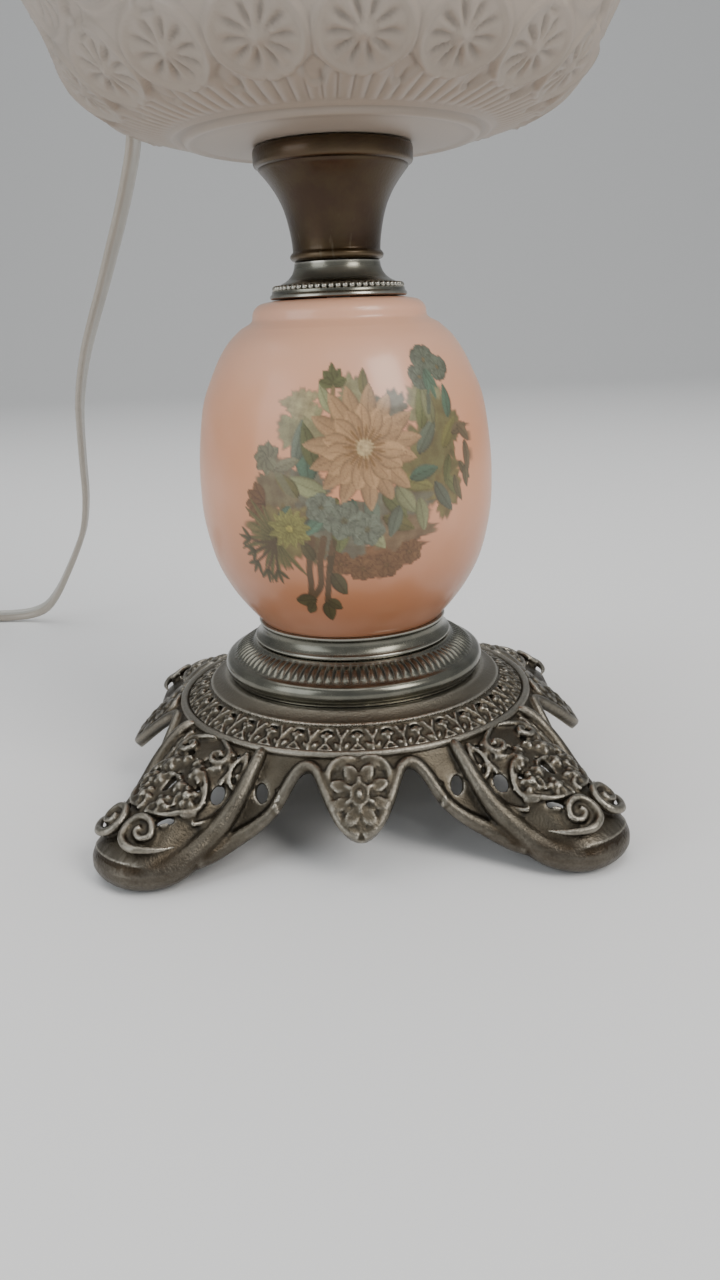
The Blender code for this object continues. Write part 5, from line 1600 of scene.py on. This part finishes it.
def fount():
    size = np.array([82.0, 81.8])
    wall = smooth_line(np.array(FOUNT_SHAPE) * size, 12)
    split = int(np.argmin(np.abs(wall[:, 1] - 46.0)))
    outside = np.vstack([even(wall[: split + 1], 0.78), even(wall[split:], 4.0)[1:]])
    neck = [(16.5, 81.7), (14.6, 82.2), (14.5, 87.8), (12.0, 87.8), (12.0, 79.5)]
    inside = [(r - 3.4, min(h + 1.2, 76.5)) for r, h in wall[::16] if r > 30][::-1]
    foot = [(0.0, -13.0), (9.5, -13.0), (10.3, -1.2), (18.3, 0.0), (30.0, 0.2), (34.0, 0.8)]
    outline = foot + outside.tolist() + neck + inside + [(36.0, 3.6), (0.0, 3.6)]
    body = turned("fount", [(r, h + FOUNT_FOOT) for r, h in outline], 720)
    radius, angle, height = polar(points_of(body))
    far = np.concatenate([[0], np.cumsum(np.linalg.norm(np.diff(wall, axis=0), axis=1))])
    steps = np.hypot(radius[:, None] - wall[::3, 0], (height - FOUNT_FOOT)[:, None] - wall[::3, 1])
    nearest = steps.argmin(1)
    skinned = steps.min(1) < 1.2
    along = far[::3][nearest]
    fine = np.interp(height - FOUNT_FOOT, wall[5:280:3, 1], far[5:280:3])
    lower = (height - FOUNT_FOOT < 50) & (height - FOUNT_FOOT > 3)
    along = np.where(lower, fine, along)
    rows = [float(np.interp(z, wall[5:, 1], far[5:])) for z in (10.9, 30.0)]
    lift = pressed(radius, angle, along, rows) * skinned * (radius > 36.5)
    slope = np.gradient(wall, axis=0)[::3][nearest]
    slope /= np.linalg.norm(slope, axis=1)[:, None]
    moved = from_polar(radius + lift * slope[:, 1], angle, height - lift * slope[:, 0])
    move_points(body, moved)
    body.data.shade_smooth()
    return finished(body, "lamp", "frosted_glass", "fount")


fount()

# %% [markdown]
# ## The burner, the bulb and the chimney
# These stand above the view, and get the same care: a thread on the collar, a milled edge on the
# burner's flange, a bowl with two rows of round holes, a gallery whose four prongs are bent from
# strips, and smooth glass.

# %% Turn the collar, the thimble and the bowl
def holes_through(piece, places, size):
    """Round holes towards the axis, at (turn in degrees, height) places."""
    drills = []
    for turn, height in places:
        bpy.ops.object.select_all(action="DESELECT")
        bpy.ops.mesh.primitive_cylinder_add(vertices=20, radius=size * MM, depth=14 * MM)
        drill = bpy.context.object
        lie = Matrix.Translation(Vector((29, 0, height)) * MM) @ Matrix.Rotation(TAU / 4, 4, "Y")
        drill.matrix_world = Matrix.Rotation(math.radians(turn), 4, "Z") @ lie
        drills.append(settle(drill))
    tool = join("drills", drills)
    cut = piece.modifiers.new("cut", "BOOLEAN")
    cut.operation, cut.object, cut.solver = "DIFFERENCE", tool, "EXACT"
    pick(piece)
    bpy.ops.object.modifier_apply(modifier="cut")
    bpy.data.objects.remove(tool)


def fount_collar():
    outline = [(18.4, 276.4), (18.8, 275.8), (18.6, 274.0), (18.1, 273.4)]
    for i in range(6):
        height = 272.9 - 1.15 * i
        outline += [(18.1, height), (18.5, height - 0.35), (18.1, height - 0.7)]
    outline += [(18.1, 265.1), (19.5, 263.9), (19.8, 263.4), (19.8, 262.9), (17.4, 262.9)]
    outline += [(16.8, 268.9), (15.8, 269.5), (15.8, 276.4)]
    ring = smooth_faces(turned("fount_collar", outline, 128, closed=True), 35)
    return finished(ring, "lamp", "burner_brass", "fount_collar")


def thimble():
    outline = [(13.7, 278.3), (18.0, 278.3), (18.45, 278.15), (18.6, 277.9), (18.6, 277.1)]
    outline += [(18.45, 276.8), (18.0, 276.7), (15.5, 276.7), (15.5, 270.5), (13.7, 270.5)]
    ring = turned("burner_thimble", outline, 384, closed=True)
    radius, angle, height = polar(points_of(ring))
    milled = (radius > 18.2) * 0.16 * np.sin(96 * angle)
    move_points(ring, from_polar(radius + milled, angle, height))
    smooth_faces(ring, 40)
    return finished(ring, "lamp", "burner_brass", "burner_thimble")


def bowl():
    low, tall = 278.6, 18.5
    shape = [(0.58, 0.0), (0.74, 0.12), (0.90, 0.34), (0.98, 0.66), (1.0, 0.90), (1.0, 1.0)]
    outside = smooth_line([(30.5 * r, low + tall * h) for r, h in shape], 4)
    inside = [(r - 0.85, h + 0.25) for r, h in outside[::-2] if h > low + 0.5]
    outline = [(13.7, low), (16.8, low), *outside.tolist(), *inside, (15.4, low + 0.9), (13.7, low + 0.9)]
    shell = turned("burner_bowl", outline, 128, closed=True)
    upper = [(7.5 + 15 * i, 289.6) for i in range(24)]
    lower = [(15 * i, 286.0) for i in range(24)]
    free = [(t, h) for t, h in lower + upper if abs(t - 127.5) > 16 and min(t, 360 - t) > 10]
    holes_through(shell, free, 1.7)
    holes_through(shell, [(0, 286.05), (127.5, 286.05)], 4.6)
    smooth_faces(shell, 35)
    return finished(shell, "lamp", "burner_brass", "burner_bowl")


fount_collar()
thimble()
bowl()

# %% [markdown]
# ## The gallery and the lampholder
# The gallery is a stamped cup that carries the chimney. Its four prongs are flat grids whose points
# are moved round the chimney's foot, and which a Solidify modifier then thickens.

# %% Bend the gallery and turn the lampholder
def prong(turn):
    """A strip with a waist and a rolled tip, bent round the chimney's foot."""
    bpy.ops.object.select_all(action="DESELECT")
    bpy.ops.mesh.primitive_grid_add(x_subdivisions=14, y_subdivisions=30, size=1.0)
    strip = bpy.context.object
    flat = points_of(strip)
    across, up = 2 * flat[:, 0], flat[:, 1] + 0.5
    half = 11.5 - 3.5 * np.sin(math.pi * up) - 4.0 * ramp(up, 0.85, 1.0)
    radius = 38.9 + 1.1 * hump(up, 0.12, 0.2) + 1.9 * ramp(up, 0.78, 1.0)
    height = 299.6 + 17.6 * up
    angle = np.radians(turn + across * half)
    move_points(strip, from_polar(radius, angle, height))
    wall = strip.modifiers.new("wall", "SOLIDIFY")
    wall.thickness, wall.offset = 0.8 * MM, 0.0
    pick(strip)
    bpy.ops.object.modifier_apply(modifier="wall")
    return strip


def gallery():
    outline = [(21.5, 297.4), (32.6, 297.4), (38.3, 297.4), (38.8, 297.6), (39.3, 298.3)]
    outline += [(39.95, 299.7), (39.9, 300.4), (39.3, 300.5), (38.6, 298.5), (38.2, 298.25)]
    outline += [(32.6, 298.3), (21.5, 298.3)]
    floor_ring = turned("gallery", outline, 160, closed=True)
    drills = []
    for i in range(24):
        bpy.ops.object.select_all(action="DESELECT")
        a = math.radians(7.5 + 15 * i)
        place = (0.0348 * math.cos(a), 0.0348 * math.sin(a), 0.2978)
        bpy.ops.mesh.primitive_cylinder_add(vertices=16, radius=1.9 * MM, depth=0.006, location=place)
        drills.append(bpy.context.object)
    tool = settle(join("vents", drills))
    cut = floor_ring.modifiers.new("cut", "BOOLEAN")
    cut.operation, cut.object, cut.solver = "DIFFERENCE", tool, "EXACT"
    pick(floor_ring)
    bpy.ops.object.modifier_apply(modifier="cut")
    bpy.data.objects.remove(tool)
    whole = settle(join("gallery", [floor_ring, *[prong(45 + 90 * i) for i in range(4)]]))
    smooth_faces(whole, 35)
    return finished(whole, "lamp", "burner_brass", "gallery")


def lampholder():
    outline = [(18.2, 292.6), (18.5, 292.9), (18.5, 296.2), (18.15, 296.6), (18.15, 297.2)]
    outline += [(18.5, 297.6), (18.5, 317.8), (18.15, 318.2), (18.15, 318.9), (18.5, 319.3)]
    outline += [(18.5, 321.9), (18.2, 322.6), (17.7, 322.6), (17.5, 322.2), (17.5, 292.6)]
    shell = smooth_faces(turned("socket_shell", outline, 128, closed=True), 35)
    return finished(shell, "lamp", "burner_brass", "socket_shell")


gallery()
lampholder()

# %% [markdown]
# ## The bulb and the chimney
# Both are blown glass, so they are spun from a wall with an inner and an outer line. The chimney's
# upper rim is fire polished, which rounds its edge.

# %% Blow the bulb and the chimney
def bulb():
    foot, tall = 326.4, 64.0
    shape = [
        (0.498, -0.09), (0.505, -0.01), (0.60, 0.110), (0.78, 0.260), (0.95, 0.430), (1.0, 0.560),
        (0.98, 0.660), (0.85, 0.810), (0.60, 0.925), (0.30, 0.985), (0.0, 1.0),
    ]
    outside = smooth_line([(24 * r, foot + tall * h) for r, h in shape], 5)
    outside[-1, 0] = 0.0
    inside = [(max(r - 1.0, 0), min(h, foot + tall - 1.0)) for r, h in outside[::-4]]
    glass = turned("bulb_glass", outside.tolist() + inside, 96)
    edit(glass, "SELECT")
    bpy.ops.mesh.normals_make_consistent(inside=False)
    leave_edit()
    smooth_faces(glass, 50)
    return finished(glass, "bulb", "bulb_glass", "bulb_glass")


def chimney():
    low, tall, foot, bulge, waist = 298.6, 216.0, 37.6, 46.5, 22.2
    shape = [
        (foot, 0.0), (foot - 0.6, 0.070), (foot + 0.8, 0.105), (0.42 * foot + 0.58 * bulge, 0.150),
        (0.97 * bulge, 0.215), (bulge, 0.280), (0.97 * bulge, 0.340),
        (0.26 * waist + 0.74 * bulge, 0.440), (0.56 * waist + 0.44 * bulge, 0.540),
        (0.80 * waist + 0.20 * bulge, 0.640), (waist + 1.3, 0.750), (waist, 0.860),
        (waist + 0.6, 0.955), (waist + 3.0, 1.0),
    ]
    outside = smooth_line([(r, low + tall * h) for r, h in shape], 5)
    inside = [(r - 1.9, h) for r, h in outside[::-1]]
    outside[-1, 0] -= 0.5
    outline = outside.tolist() + [(inside[0][0] + 0.5, low + tall)] + inside[1:]
    glass = turned("chimney", outline, 128, closed=True)
    smooth_faces(glass, 60)
    return finished(glass, "chimney", "clear_glass", "chimney")


bulb()
chimney()

# %% [markdown]
# ## The measured pieces that stay
# Shafts, nuts, leads, the key and the inside of the lampholder have the right shape already. Each
# gets its finish by its name.

# %% Dress the rest
REST = {
    "steel": ["base_nut", "base_washer", "tie_rod", "connector_nut", "bulb_cap"],
    "plaster": ["peg_plaster", "collar_plaster"],
    "phenolic": ["switch_block", "socket_liner", "bulb_tip", "cord_bushing"],
    "porcelain": ["socket_base"],
    "burner_brass": [
        "switch_shaft", "switch_knob", "screw_shell", "centre_contact",
        "plug_blade_left", "plug_blade_right",
    ],
    "plain_jacket": ["lead_live", "lead_neutral"],
}
for slot, names in REST.items():
    for name in names:
        piece = bpy.data.objects[name]
        for place in piece.material_slots:
            place.material = LOOKS[slot]
print("dressed:", sum(len(names) for names in REST.values()))

# %% [markdown]
# ## Light and floor
# A pale floor that bends up into a backdrop gives the metal something even to mirror. A large lamp
# from the upper right makes the long highlights, and two weaker ones open the shadows.


# %% Make the stage and the lights
def stage():
    bpy.ops.object.select_all(action="DESELECT")
    bpy.ops.mesh.primitive_plane_add(size=6.0, location=(0, 0, -0.0002))
    floor = bpy.context.object
    floor.scale = (2.5, 1, 1)
    edit(floor, "DESELECT")
    leave_edit()
    for edge in floor.data.edges:
        edge.select = all(floor.data.vertices[v].co.y > 0 for v in edge.vertices)
    bpy.ops.object.mode_set(mode="EDIT")
    bpy.ops.mesh.select_mode(type="EDGE")
    bpy.ops.mesh.extrude_region_move(TRANSFORM_OT_translate={"value": (0, 0, 4.0)})
    leave_edit()
    bend = floor.modifiers.new("bend", "BEVEL")
    bend.width, bend.segments, bend.limit_method = 1.2, 16, "ANGLE"
    bpy.ops.object.modifier_apply(modifier="bend")
    settle(floor, "floor")
    floor.data.shade_smooth()
    return floor


def area_light(name, place, aim, size, watts, tint=(1, 1, 1)):
    data = bpy.data.lights.new(name, "AREA")
    data.shape, data.size, data.size_y = "RECTANGLE", *size
    data.energy, data.color = watts, tint
    light = bpy.data.objects.new(name, data)
    bpy.context.scene.collection.objects.link(light)
    light.location = place
    light.rotation_euler = (Vector(aim) - Vector(place)).to_track_quat("-Z", "Y").to_euler()


floor = stage()
area_light("window", (0.75, -0.75, 0.95), (0, 0, 0.12), (0.55, 0.75), 11, (1.0, 0.97, 0.93))
area_light("ceiling", (-0.1, 0.1, 1.5), (0, 0, 0.1), (1.6, 1.6), 14)
area_light("fill", (-1.1, -0.8, 0.6), (0, 0, 0.1), (0.9, 1.1), 7, (0.93, 0.97, 1.0))
world = bpy.data.worlds.new("studio")
world.use_nodes = True
world.node_tree.nodes["Background"].inputs["Color"].default_value = (0.80, 0.82, 0.83, 1)
world.node_tree.nodes["Background"].inputs["Strength"].default_value = 0.55
bpy.context.scene.world = world

# %% [markdown]
# ## Closing

# %% Finish
print("finished")
